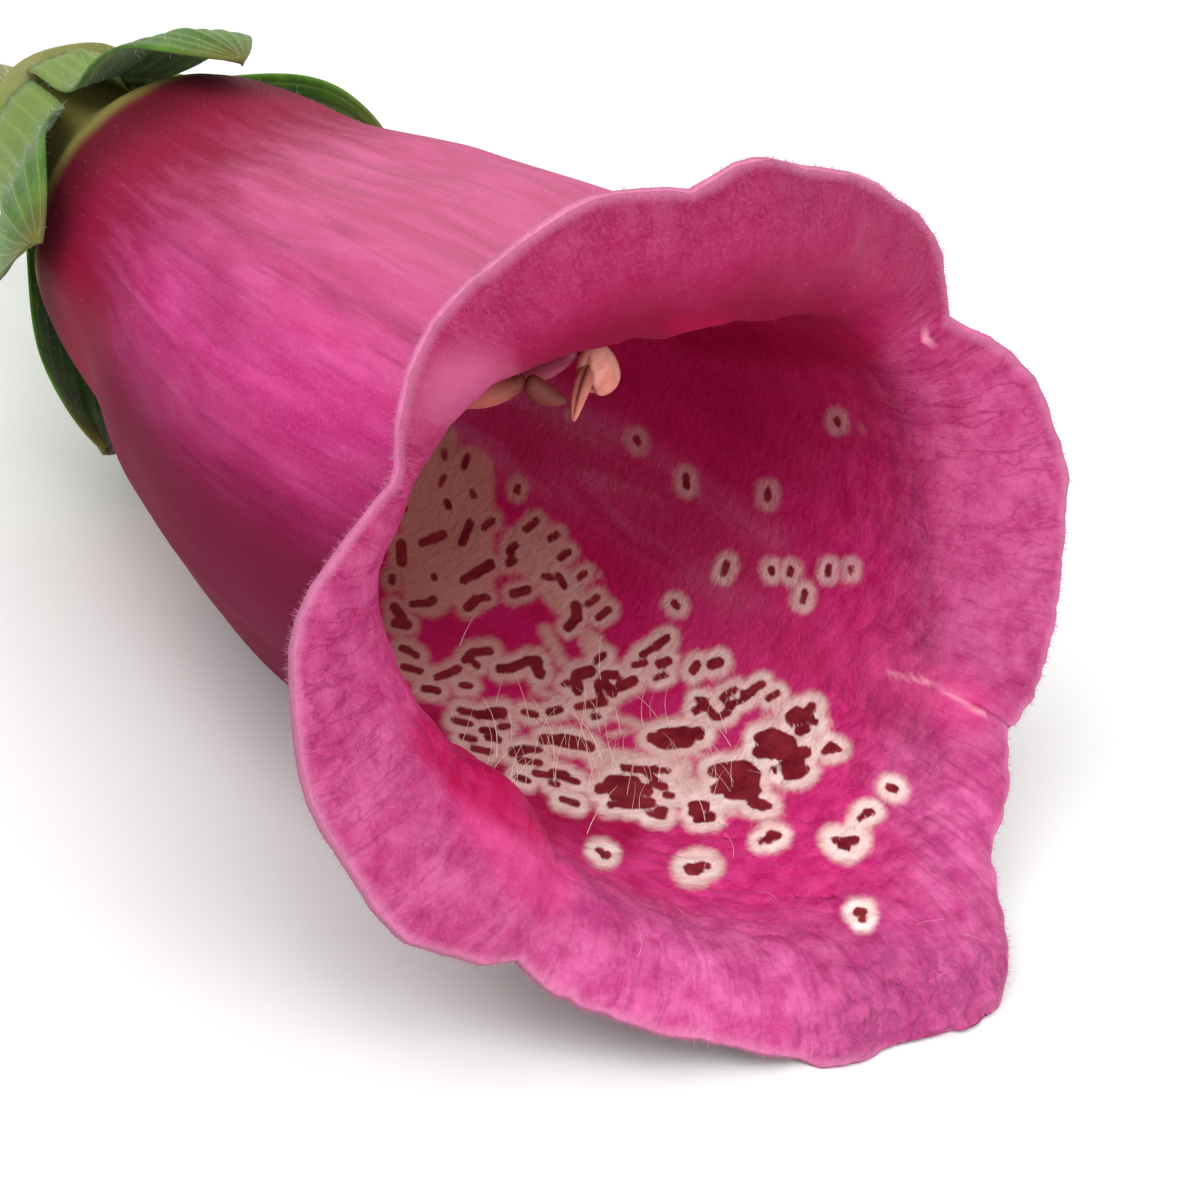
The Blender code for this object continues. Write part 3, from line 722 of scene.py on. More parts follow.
def marksSeen(points, inward, facts, angle):
    # millimetres to the nearest dark core and to the edge of the pale ground, and shares of the tinted bands
    flat = points.reshape(-1, 3)
    spots = seenAt(flat)
    toEye = cameraAxes()[0] - flat
    toEye /= np.linalg.norm(toEye, axis=1)[:, None]
    facing = np.sum(toEye * inward.reshape(-1, 3), axis=1)
    a = (wrapped(angle)[None, :] + 0 * facts["along"]).ravel()
    along = facts["along"].ravel()
    low, high = markLook["nearLobe"]
    nearLobe = (a > low) & (a < high) & (along > markLook["nearLobeFrom"])
    seen = (facing > markLook["facing"]) & ~nearLobe
    none, scale = markLook["none"], markLook["pixelsPerMm"]
    core = scatterMarks(flat, a, along, (facing < 0) | shadedBy(points, flat, toEye))
    patches = np.where(seen, strokeDistance(spots, palePatches) / scale, none)
    pale = np.minimum(core - hiddenMarks["halo"], patches)
    for strokes, halo in haloWidths:
        thickened = [(*ends, max(half, markLook["thinnest"])) for *ends, half in strokes]
        distance = np.where(seen, strokeDistance(spots, thickened) / scale, none)
        core = np.minimum(core, distance)
        pale = np.minimum(pale, distance - halo / scale)
    shape = points.shape[:2]
    values = {name: np.clip(distance, markLook["deepest"], none).reshape(shape)
              for name, distance in (("core", core), ("pale", pale))}
    for name, strokes in tintBands.items():
        near = ease(1 - strokeDistance(spots, strokes) / bandSoftness[name])
        values[name] = np.where(facing > markLook["facing"], near, 0.0).reshape(shape)
    return values


# Corolla: mesh. One closed grid runs up the outer face, over the rim and back down the inner one

def closedGrid(name, rows, rowMaterial):
    # a mesh whose rows and columns both close
    count, columns = rows.shape[:2]
    mesh = bpy.data.meshes.new(name)
    mesh.from_pydata((rows.reshape(-1, 3) * mm).tolist(), [], gridQuads(count, columns, closed=True))
    mesh.polygons.foreach_set("material_index", np.repeat(rowMaterial, columns).astype(np.int32))
    mesh.shade_smooth()
    return mesh


def makeCorolla(outside, inside):
    angle = columnAngles()
    outer, outerFacts = corollaSheet(angle, skin["outerTubeRows"], skin["outerLipRows"])
    base, innerFacts = corollaSheet(angle, skin["innerTubeRows"], skin["innerLipRows"])
    outward, fromRim = sheetNormals(base), innerFacts["fromRim"]
    wall = skin["rimWall"] + (skin["wall"] - skin["rimWall"]) * ease(fromRim / skin["wallOver"])
    crumpled = hump(wrapped(angle), corner["angle"], corner["spread"]) * np.exp(-fromRim / corner["reach"])
    wall = wall + swell(base, **corner["crumple"]) * crumpled * ease(fromRim / corner["rimFade"])
    inner = base - outward * wall[..., None]
    marks = marksSeen(inner, -outward, innerFacts, angle)
    rimWay = outer[-1] - outer[-2]
    rimWay /= np.linalg.norm(rimWay, axis=1)[:, None]
    rim = (outer[-1] + inner[-1]) / 2 + rimWay * skin["rimWall"] * skin["rimBulge"]
    foot = (outer[0] + inner[0]) / 2 + np.array([0, skin["footIn"], 0])
    rows = np.concatenate([outer, rim[None], inner[::-1], foot[None]])

    def stacked(outerValues, rimValue, innerValues, footValue):
        # one value for each point, in the order of the rows
        one = np.ones((1, len(angle)))
        return np.concatenate([outerValues, rimValue * one, innerValues[::-1], footValue * one])

    bare = dict(core=markLook["none"], pale=markLook["none"]) | {name: 0.0 for name in tintBands}
    fromFoot = stacked(outerFacts["fromFoot"], outerFacts["fromFoot"][-1], innerFacts["fromFoot"], 0.0)
    turn = np.radians(angle)[None, :] + 0 * fromFoot
    radius = skin["flowRadius"]
    rowMaterial = np.concatenate([np.zeros(len(outer) + 1), np.ones(len(inner)), [0]])
    mesh = closedGrid("corolla skin", rows, rowMaterial)
    mesh.materials.append(outside)
    mesh.materials.append(inside)
    setFlow(mesh, np.stack([radius * np.sin(turn), radius * np.cos(turn), fromFoot], -1))
    values = {name: stacked(np.full(outer.shape[:2], value), value, marks[name], value)
              for name, value in bare.items()}
    values |= dict(
        fromRim=stacked(outerFacts["fromRim"], 0.0, fromRim, skin["footInside"]),
        along=stacked(outerFacts["along"], outerFacts["along"][-1], innerFacts["along"], 0.0),
        belly=np.cos(turn),
        inside=stacked(np.zeros(outer.shape[:2]), 0.5, np.ones(inner.shape[:2]), 0.0),
    )
    for name, value in values.items():
        setAttribute(mesh, name, value)
    piece = linked("corolla_skin", mesh)
    print("corolla faces", len(mesh.polygons))
    return piece, {name: value.ravel() for name, value in values.items()} | {"angle": np.degrees(turn).ravel()}


# Corolla: its skin, outside and inside. Layers run on values in millimetres and on belly, which is 1 on the belly
# and -1 on the roof

def petalOutside():
    # living petal, silky with short fuzz: darker along its veins, darker on the belly half (partly its own tone and
    # partly painted shade) and paler on the roof as painted light, and towards the foot crimson, then a brown band
    # that is the calyx's painted shadow, then green
    material, tree, shader = newMaterial(
        "petal skin outside", Roughness=0.65, IOR=1.4, Specular_IOR_Level=0.06,
        Sheen_Weight=0.03, Sheen_Roughness=0.4, Sheen_Tint="#F29CC4")
    along, rim, belly = (add(tree, "ShaderNodeAttribute", attribute_name=name).outputs["Fac"]
                         for name in ("along", "fromRim", "belly"))
    place = add(tree, "ShaderNodeTexCoord").outputs["Object"]
    veins, broad, mottle = drawnOut(tree, [
        (0.45, 9.0, {"Detail": 3.0, "Roughness": 0.55, "Distortion": 0.4}),
        (2.0, 16.0, {"Detail": 2.0, "Distortion": 0.5}),
        (0.8, 3.6, {"Detail": 4.0, "Roughness": 0.65}),
    ])
    fine = add(tree, "ShaderNodeTexNoise", {
        "Vector": place, "Scale": 1 / (0.1 * mm), "Detail": 2.0, "Roughness": 0.6})
    uneven = add(tree, "ShaderNodeMath", {0: mottle, 1: 7.0, 2: along}, operation="MULTIPLY_ADD")
    colour = layered(
        tree, "#C22E78", (mottle, 0.3, 0.7, 1.0, "#D65094"), (broad, 0.45, 0.68, 0.5, "#A01C5C"),
        (veins, 0.5, 0.7, 0.45, "#7E1048"), (fine, 0.45, 0.75, 0.09, "#F0A0C6"),
        # painted light and shade: the belly half's dark tint is partly painted shade, the roof's pale tint is
        # painted light, and the brown band from along 12.6 to 9.4 is the calyx's painted shadow
        (belly, -0.52, -0.06, 0.95, "#660028"), (belly, -0.5, -1.0, 0.42, "#CC7E8E"),
        (uneven, 25.0, 15.5, 0.9, "#86102E"), (along, 12.6, 9.4, 0.75, "#54141C"),
        (along, 8.9, 7.6, 0.85, "#94904A"), (rim, 0.8, 0.0, 0.4, "#DE9ABC"))
    dress(tree, shader, colour, (fine, 0.025, 0.6), (veins, 0.05, 0.45))
    return material


def petalInside():
    # the same petal from within: mauve lobes, hot magenta round the marks, deep crimson down the throat, and ragged
    # maroon marks on a cream ground. Painted shade darkens its roof side, the creases of the lower lip's crumpled
    # tip and the cream deep in the throat, and painted light brightens streaks on the throat wall
    material, tree, shader = newMaterial(
        "petal skin inside", Roughness=0.6, IOR=1.4, Specular_IOR_Level=0.15,
        Sheen_Weight=0.03, Sheen_Roughness=0.4, Sheen_Tint="#F29CC4")
    fact = {name: add(tree, "ShaderNodeAttribute", attribute_name=name).outputs["Fac"]
            for name in ("along", "fromRim", "belly", "core", "pale", *tintBands)}
    along, rim, belly = fact["along"], fact["fromRim"], fact["belly"]
    place = add(tree, "ShaderNodeTexCoord").outputs["Object"]
    veins, broad, net = drawnOut(tree, [
        (0.24, 1.7, {"Detail": 4.0, "Roughness": 0.6, "Distortion": 0.6}),
        (1.6, 8.0, {"Detail": 2.0, "Distortion": 0.6}),
        (0.6, 2.2, {"Detail": 3.0, "Roughness": 0.55, "Distortion": 0.5}),
    ])
    mottle, ragged, fine, ridges = (
        add(tree, "ShaderNodeTexNoise", {
            "Vector": place, "Scale": 1 / (size * mm), "Detail": detail, "Roughness": rough})
        for size, detail, rough in ((0.9, 4.0, 0.65), (0.32, 2.5, 0.6), (0.1, 2.0, 0.6), (1.1, 3.0, 0.5)))
    # lines where a noise crosses its middle
    net, ridges = (
        add(tree, "ShaderNodeMath", {0: noise, 1: 0.5}, operation="SUBTRACT") for noise in (net, ridges))
    net, ridges = (add(tree, "ShaderNodeMath", {0: noise}, operation="ABSOLUTE") for noise in (net, ridges))
    # upper darkens the roof side: the upper lobe and the roof of the throat. edgeward deepens it on the upper lobe
    # away from its rim, where it turns under the roof. Both are painted shade
    # how strong each effect is: what steers it, from which value to which, and its strength at the two
    mottled, upper, lined, netted, edgeward, streak, fibres, folded, lifted, puckers = (
        add(tree, "ShaderNodeMapRange", dict(zip(("Value", "From Min", "From Max", "To Min", "To Max"), row)),
            interpolation_type="SMOOTHSTEP")
        for row in (
            (mottle, 0.3, 0.7, 0.0, 1.0), (belly, -0.2, -0.75, 0.0, 0.68), (belly, -0.5, 0.7, 0.62, 0.16),
            (net, 0.0, 0.03, 1.0, 0.0), (rim, 1.3, 4.0, 0.0, 1.4), (veins, 0.36, 0.6, 0.85, 0.6),
            (broad, 0.4, 0.6, 0.12, 0.55), (ridges, 0.0, 0.05, 0.8, 0.28), (belly, -0.7, 0.2, 0.25, 0.7),
            (ridges, 0.0, 0.14, 0.0, 1.0)))
    # the dusky band times folded lays the crumpled tip's painted shade along the creases of the ridged noise
    netted, edgeward, hot, crimson, dusky, streaky, crease = (
        add(tree, "ShaderNodeMath", {0: one, 1: other}, operation="MULTIPLY")
        for one, other in (
            (netted, lined), (edgeward, upper), (fact["hot"], 0.45), (fact["crimson"], streak),
            (fact["dusky"], folded), (fact["streaky"], fibres), (fact["crease"], 0.6)))
    inFromRim = add(tree, "ShaderNodeMath", {0: upper, 1: 3.6, 2: rim}, operation="MULTIPLY_ADD")
    # the (upper, #7E0634), (upper, #8E0038) and (edgeward, #7A002C) layers below are painted shade on the roof side
    lobe = layered(
        tree, "#A42E68", (mottled, "#BC5486"),
        (belly, 0.45, 0.85, 1.0, layered(tree, "#B43878", (mottled, "#D2629A"))),
        (broad, 0.45, 0.65, 0.35, "#A0235F"), (veins, 0.48, 0.68, 0.4, "#861850"), (upper, "#7E0634"),
        (netted, "#7A0E42"))
    magenta = layered(tree, "#C6166A", (mottled, "#DE3A88"), (upper, "#8E0038"))
    throat = layered(tree, "#B20044", (broad, "#D42070"))
    # the streaky tint #C86A92 lightens real streaks on the throat wall as painted light
    colour = layered(
        tree, lobe, (inFromRim, 2.6, 7.0, 0.9, magenta), (fine, 0.45, 0.75, 0.07, "#EE9CC2"),
        (edgeward, "#7A002C"), (along, 40.0, 26.0, 0.85, throat), (hot, "#DA3C80"), (crimson, "#A80040"),
        (dusky, "#92386A"), (streaky, "#C86A92"))
    # the cream's darkening deeper in the throat, from along 39 to 18, is painted shade
    cream = layered(
        tree, "#FFEDE8", (mottled, "#F6D0CA"), (along, 39.0, 18.0, 1.0, "#C4847A"),
        (belly, 0.8, 0.3, 0.7, "#CC7890"), (fact["core"], 0.10, 0.36, 0.32, "#CF8E80"))
    maroon = layered(tree, "#741826", (mottled, "#902E38"))
    edges = []  # of the pale ground and of the marks, made ragged by so many millimetres
    for name, depth in (("pale", 0.24), ("core", 0.11)):
        waver = add(tree, "ShaderNodeMath", {0: ragged, 1: depth, 2: -depth / 2}, operation="MULTIPLY_ADD")
        edges.append(add(tree, "ShaderNodeMath", {0: fact[name], 1: waver}, operation="ADD"))
    colour = layered(
        tree, colour, (edges[0], 0.08, -0.22, 1.0, cream), (edges[1], 0.04, -0.04, 1.0, maroon),
        (crease, "#F4A6BC"), (rim, 0.35, 0.0, 0.35, "#D892B6"))
    dress(tree, shader, colour, (fine, 0.025, 0.6), (ragged, 0.09, lifted), (puckers, 0.11, fact["dusky"]))
    return material


corolla, corollaFacts = makeCorolla(petalOutside(), petalInside())
mounted(corolla, "corolla")
print("corolla made")


# Hairs of the petal: thin pale plant hairs, drawn about twice as thick as they grow so that they show

petalHairs = dict(
    corolla_fuzz=dict(
        perSquareMm=4.0, length=0.15, shortest=0.06, radius=0.004, bend=0.35, lean=0.6, seed=1, steps=2),
    corolla_rim_fuzz=dict(
        perSquareMm=130.0, length=0.20, shortest=0.07, radius=0.007, bend=0.3, lean=0.7, seed=2, steps=2),
    corolla_lobe_fuzz=dict(
        perSquareMm=0.8, length=0.13, shortest=0.06, radius=0.0045, bend=0.4, lean=0.6, seed=3, steps=2),
    corolla_floor_hairs=dict(
        perSquareMm=2.0, length=2.1, shortest=0.9, radius=0.014, bend=0.35, lean=0.4, seed=4, steps=7),
    corolla_stray_hairs=dict(
        perSquareMm=0.06, length=0.9, shortest=0.5, radius=0.010, bend=0.9, lean=0.8, seed=6, steps=7),
)
# Where they grow: millimetres along and from the rim, and degrees round the axis
hairLimits = dict(
    fuzzFrom=9.0, fuzzBelly=-0.7, fuzzFades=0.6, rim=0.3, lobeRim=6.0, lobeFrom=30.0,
    floorAngle=2.0, floorSpread=19.0, floorAlong=33.0, floorReach=4.5, strayAngle=45.0, strayRim=(1.5, 8.0),
)


def hairFinish(name, tint, roughness=0.35):
    # a single-cell plant hair, pale and a little glossy
    material, _, _ = newMaterial(name, Base_Color=tint, Roughness=roughness, IOR=1.45)
    return material


def growPetalHairs():
    flushed = hairFinish("flushed petal hair", "#CF7FA6")
    finishes = dict(
        corolla_floor_hairs=hairFinish("pale floor hair", "#FFF2D6"),
        corolla_stray_hairs=hairFinish("petal hair", "#EDB6CF"),
    )
    fact, limit = corollaFacts, hairLimits
    outside, inside = 1 - fact["inside"], fact["inside"]
    turn, along, rim = wrapped(fact["angle"]), fact["along"], fact["fromRim"]
    low, high = limit["strayRim"]
    thinner = 1 - ease((fact["belly"] - limit["fuzzBelly"]) / limit["fuzzFades"])
    shares = dict(
        corolla_fuzz=outside * (along > limit["fuzzFrom"]) * thinner,
        corolla_rim_fuzz=np.exp(-((rim / limit["rim"]) ** 2)),
        corolla_lobe_fuzz=inside * (rim < limit["lobeRim"]) * (along > limit["lobeFrom"]),
        corolla_floor_hairs=inside * hump(turn, limit["floorAngle"], limit["floorSpread"])
        * hump(along, limit["floorAlong"], limit["floorReach"]),
        corolla_stray_hairs=inside * (np.abs(turn) < limit["strayAngle"]) * (rim < high) * (rim > low),
    )
    for name, share in shares.items():
        growHairs(name, corolla, share, petalHairs[name], finishes.get(name, flushed))


growPetalHairs()
print("petal hairs made")


# Calyx: five overlapping sepals on a short cup

sepals = dict(
    angle=[-108.0, -36.0, 36.0, 108.0, 180.0], length=[11.5, 11.0, 11.0, 10.0, 12.0],
    halfWidth=[34.0, 34.0, 34.0, 34.0, 25.0], lift=[0.5, 0.3, 0.3, 0.2, 0.7],
    cupDepth=2.4, standOff=1.15, blade=0.34, overlap=5.0, lean=0.17, fullness=1.35, point=0.72,
    narrowest=0.4, under=0.22, cupRows=8, inset=0.17, arch=2, tuck=0.42, tuckUntil=0.9, tuckOver=1.1,
    veins=0.05, veinCount=3.5, keel=0.14, keelWidth=0.13, keelFades=0.6, columns=30, rows=44,
    flutter=0.16, flutterAlong=7, flutterAcross=1.5, flutterShift=2.3, flutterSetsIn=3,
    edgeThinner=0.55, edgePower=3, tipThinner=0.4, innerDown=0.35, edgeDown=0.12,
    down=dict(perSquareMm=4.0, length=0.3, shortest=0.12, radius=0.006, bend=0.3, lean=0.5, seed=8, steps=2),
)


def sepalSkin(k):
    # one blade: rings of points that go across its outer face and back across its inner one
    size, across = sepals, np.linspace(-1, 1, sepals["columns"])
    cup, blade = size["cupDepth"], size["length"][k] - size["cupDepth"]
    reach = np.concatenate([
        np.linspace(-size["under"], cup, size["cupRows"])[:-1] - cup, blade * np.linspace(0, 1, size["rows"])])
    rings, tips, spreads = [], [], []
    for step in reach:
        tipward = max(step, 0.0) / blade
        along = cup + step
        half = (size["halfWidth"][k] + size["overlap"]) * (1 - tipward ** size["fullness"]) ** size["point"]
        angle = size["angle"][k] + across * max(half, size["narrowest"])
        tuck = size["tuck"] * ease((size["tuckUntil"] - along) / size["tuckOver"])  # in at its foot
        standing = size["standOff"] - size["inset"] + size["lift"][k] * math.sin(size["arch"] * tipward) - tuck
        waves = np.sin(
            size["flutterAlong"] * tipward + size["flutterShift"] * k + across * size["flutterAcross"])
        wave = size["flutter"] * waves * across**2 * ease(tipward * size["flutterSetsIn"])
        ridge = size["keel"] * hump(across, 0, size["keelWidth"]) * (1 - size["keelFades"] * tipward)
        veins = size["veins"] * np.cos(across * size["veinCount"] * 2 * math.pi) * (1 - across**2)
        outer = tubeOutline(along, angle) + standing + size["lean"] * across + wave + ridge + veins
        thinner = 1 - size["edgeThinner"] * np.abs(across) ** size["edgePower"]
        wall = size["blade"] * thinner * (1 - size["tipThinner"] * tipward)
        outerPoints = aroundAxis(outer, along + 0 * across, angle)
        innerPoints = aroundAxis(outer - wall, along + 0 * across, angle)
        rings.append(np.concatenate([outerPoints, innerPoints[::-1]]))
        tips.append(np.full(2 * len(across), tipward))
        spreads.append(np.concatenate([across, across[::-1]]))
    return loft(rings), np.array(tips), np.array(spreads)


def sepalFinish():
    # leafy green tissue, dull and downy, with pale veins and a purplish flush at the tips
    material, tree, shader = newMaterial(
        "sepal leaf", Roughness=0.6, IOR=1.4, Specular_IOR_Level=0.25, Subsurface_Weight=0.2,
        Subsurface_Radius=(0.4, 0.8, 0.2), Subsurface_Scale=0.5 * mm, Sheen_Weight=0.15, Sheen_Roughness=0.5)
    tipward = add(tree, "ShaderNodeAttribute", attribute_name="tipward").outputs["Fac"]
    spread = add(tree, "ShaderNodeAttribute", attribute_name="spread").outputs["Fac"]
    place = add(tree, "ShaderNodeTexCoord").outputs["Object"]
    mottle, fine = (
        add(tree, "ShaderNodeTexNoise", {
            "Vector": place, "Scale": 1 / (size * mm), "Detail": detail, "Roughness": 0.6})
        for size, detail in ((1.2, 4.0), (0.15, 3.0)))
    waves = add(tree, "ShaderNodeMath", {0: spread, 1: sepals["veinCount"] * 2 * math.pi}, operation="MULTIPLY")
    waves = add(tree, "ShaderNodeMath", {0: waves}, operation="COSINE")
    colour = layered(
        tree, "#3E6418", (mottle, 0.3, 0.7, 1.0, "#567E26"), (waves, 0.75, 1.0, 0.5, "#7E9A44"),
        (tipward, 0.75, 1.0, 0.45, "#7A4A3C"), (tipward, 0.25, 0.0, 0.5, "#8FA054"))
    dress(tree, shader, colour, (fine, 0.04, 0.7))
    return material


def makeCalyx():
    skins, tips, spreads = [], [], []
    for k in range(len(sepals["angle"])):
        shape, tipward, spread = sepalSkin(k)
        skins.append(shape)
        tips.append(np.concatenate([tipward.ravel(), [0.0, 1.0]]))
        spreads.append(np.concatenate([spread.ravel(), [0.0, 0.0]]))
    values = dict(tipward=np.concatenate(tips), spread=np.concatenate(spreads))
    calyx = makePiece("calyx_sepals", skins, sepalFinish(), values)
    mounted(calyx, "calyx")
    greenish = hairFinish("sepal hair", "#E4E8CC", 0.4)
    atEdge = hump(np.abs(values["spread"]), 1.0, sepals["edgeDown"])
    share = sepals["innerDown"] + (1 - sepals["innerDown"]) * atEdge
    growHairs("calyx_down", calyx, share, sepals["down"], greenish)
    return greenish


greenHair = makeCalyx()
print("calyx made")


# Stalk: cut short, and swollen into the receptacle under the calyx

stalk = dict(
    length=9.0, radius=1.15, droop=2.4, gap=0.3, receptacle=3.5, receptacleDepth=2.2,
    ribs=5, ribDepth=0.05, rows=70, sides=48, grain=(0.5, 3.0, 0.5),
    # rings of the cut end: share of the stalk's width, depth of the dish, and how much of it is pith
    cutRings=[(0.97, 0.0, 0.3), (0.86, 0.03, 0.7), (0.6, 0.1, 1.0), (0.3, 0.18, 1.0)],
    down=dict(perSquareMm=9.0, length=0.4, shortest=0.15, radius=0.009, bend=0.3, lean=0.4, seed=9, steps=2),
)


def stalkFinish():
    # a soft green stem, ribbed and downy, flushed red-brown above; its cut end is paler, with a moist pith
    material, tree, shader = newMaterial(
        "flower stalk", Roughness=0.5, IOR=1.4, Subsurface_Weight=0.2,
        Subsurface_Radius=(0.5, 0.8, 0.3), Subsurface_Scale=0.6 * mm)
    place = add(tree, "ShaderNodeTexCoord").outputs["Object"]
    cut = add(tree, "ShaderNodeAttribute", attribute_name="cut").outputs["Fac"]
    upper = add(tree, "ShaderNodeAttribute", attribute_name="upper").outputs["Fac"]
    stretch = tuple(1 / (size * mm) for size in stalk["grain"])
    grain = add(tree, "ShaderNodeVectorMath", {0: place, 1: stretch}, operation="MULTIPLY")
    streaks = add(tree, "ShaderNodeTexNoise", {"Vector": grain, "Scale": 1.0, "Detail": 3.0, "Roughness": 0.6})
    pith = layered(tree, "#C3CD92", (streaks, "#DDE0B4"))
    colour = layered(tree, "#6E8F38", (streaks, "#98AE58"), (upper, 0.1, 1.0, 0.45, "#8A5A4E"), (cut, pith))
    dress(tree, shader, colour, (streaks, 0.05, 0.6))
    return material


def makeStalk():
    backs = np.linspace(0, stalk["length"], stalk["rows"])
    path = placed(0 * backs, -stalk["gap"] - backs, -stalk["droop"] * (backs / stalk["length"]) ** 2)
    around = np.linspace(0, 2 * math.pi, stalk["sides"], endpoint=False)
    swollen = 1 - ease(backs / stalk["receptacleDepth"])
    plain = stalk["radius"] + (stalk["receptacle"] - stalk["radius"]) * swollen
    ribbed = 1 + stalk["ribDepth"] * (np.cos(stalk["ribs"] * around) - 1) / 2
    rings = ringsAlong(path, plain[:, None] * ribbed, stalk["sides"])
    top = around[np.argmax(rings[-1][:, 2])]
    upper = np.repeat(np.cos(around - top)[None], len(rings), 0)
    # the cut end: a thin rind, then a face dished a little
    end, way = path[-1], (path[-1] - path[-2]) / np.linalg.norm(path[-1] - path[-2])
    endRings = [end + (rings[-1] - end) * share - way * depth for share, depth, _ in stalk["cutRings"]]
    cutShares = [np.full(stalk["sides"], pith) for *_, pith in stalk["cutRings"]]
    rings = np.concatenate([rings, endRings])
    cut = np.concatenate([np.zeros((len(backs), stalk["sides"])), cutShares])
    upper = np.concatenate([upper, np.zeros((len(endRings), stalk["sides"]))])
    values = dict(cut=np.append(cut.ravel(), [0.0, 1.0]), upper=np.append(upper.ravel(), [0.0, 0.0]))
    piece = makePiece("stalk_stem", [loft(rings)], stalkFinish(), values)
    mounted(piece, "stalk")
    growHairs("stalk_down", piece, 1 - values["cut"], stalk["down"], greenHair)


makeStalk()
print("stalk made")


# Pistil: ovary, smooth style, and two-lobed stigma under the roof

pistil = dict(
    ovaryLength=6.5, ovaryRadius=1.4, ovaryFoot=1.12, ovaryTaper=2.2, styleRadius=0.32, styleOffset=0.4,
    stigmaAlong=31.5, stigmaLength=1.5, stigmaRoot=0.4, stigmaSpread=0.5, stigmaDrop=0.25,
    stigmaRadii=[0.29, 0.42, 0.3], stigmaFull=1.02, stigmaBlunt=6, stigmaTip=0.03, gap=0.3, petalWall=0.8,
    ovaryRows=16, styleFrom=7.5, styleRows=40, sides=20, stigmaRows=12, stigmaSides=14,
)


def stylePlace(along):
    roof = float(tubeOutline(pistil["stigmaAlong"], 180.0)) - pistil["petalWall"]
    climb = ease((along - pistil["ovaryLength"]) / (pistil["stigmaAlong"] - pistil["ovaryLength"]))
    height = roof - pistil["gap"] - pistil["styleRadius"]
    return placed(pistil["styleOffset"] * climb, along, height * climb)


def makePistil():
    # a pale green ovary, and a fleshy style whose pale pink is darkened to a deep pink as painted shade
    material, tree, shader = newMaterial("pistil flesh", Roughness=0.45, IOR=1.4, Subsurface_Weight=0.3,
                                         Subsurface_Radius=(0.8, 0.6, 0.4), Subsurface_Scale=0.5 * mm)
    along = add(tree, "ShaderNodeAttribute", attribute_name="along").outputs["Fac"]
    toStyle = add(tree, "ShaderNodeMapRange", {"Value": along, "From Min": 4.0, "From Max": 9.0})
    # the style's tint #A85868 is painted shade
    dress(tree, shader, layered(tree, "#93A552", (toStyle, "#A85868")))
    size, tip = pistil, pistil["stigmaAlong"]
    alongs = np.concatenate([
        np.linspace(0, size["ovaryLength"], size["ovaryRows"]),
        np.linspace(size["styleFrom"], tip, size["styleRows"])])
    path = np.array([stylePlace(along) if along > 0 else placed(0, 0, 0) for along in alongs])
    swollen = np.clip(1 - (alongs / size["ovaryLength"]) ** size["ovaryTaper"], 0, 1)
    radii = size["ovaryRadius"] * swollen + size["styleRadius"]
    radii[0] = size["ovaryFoot"]
    shapes = [loft(ringsAlong(path, radii, size["sides"]))]
    alongAt = [np.append(np.repeat(alongs, size["sides"]), [0, tip])]
    base, end = stylePlace(tip - size["stigmaRoot"]), stylePlace(tip)
    shares = np.linspace(0, 1, size["stigmaRows"])
    blunt = np.sqrt(np.clip(size["stigmaFull"] - shares ** size["stigmaBlunt"], size["stigmaTip"], 1))
    lobeRadii = np.interp(shares, [0, 0.5, 1], size["stigmaRadii"]) * blunt
    for side in (-1, 1):
        aside = np.array([side * size["stigmaSpread"], 0, -size["stigmaDrop"]])
        way = (end - base) / np.linalg.norm(end - base) + aside
        way /= np.linalg.norm(way)
        lobe = base + way * size["stigmaLength"] * shares[:, None]
        shapes.append(loft(ringsAlong(lobe, lobeRadii, size["stigmaSides"])))
        alongAt.append(np.full(len(shapes[-1][0]), tip))
    piece = makePiece("pistil_flesh", shapes, material, dict(along=np.concatenate(alongAt)))
    mounted(piece, "pistil")


makePistil()
print("pistil made")


# Stamens: four filaments up the sides, each with an anther of two sacs under the roof

stamens = dict(
    long_near=dict(footAngle=-48.0, footAlong=4.6, anther=(-4.1, 34.2, 5.35), turn=-38.0),
    long_far=dict(footAngle=48.0, footAlong=4.6, anther=(-0.95, 33.5, 5.0), turn=24.0),
    short_near=dict(footAngle=-128.0, footAlong=5.4, anther=(-3.3, 28.2, 4.9), turn=-30.0),
    short_far=dict(footAngle=128.0, footAlong=5.4, anther=(2.2, 28.6, 4.9), turn=30.0),
)
stamenSize = dict(
    radius=0.38, taper=0.15, footGap=0.42, petalWall=0.8, waistAlong=14.0, waistShare=0.6,
    bendBehind=5.0, bendBelow=3.4, bendOut=1.1, bendWaist=0.15, endLift=0.2, endBehind=0.625,
    gap=0.3, gapShare=0.3, rows=48, sides=16, tipRows=6, tipShare=0.45,
)
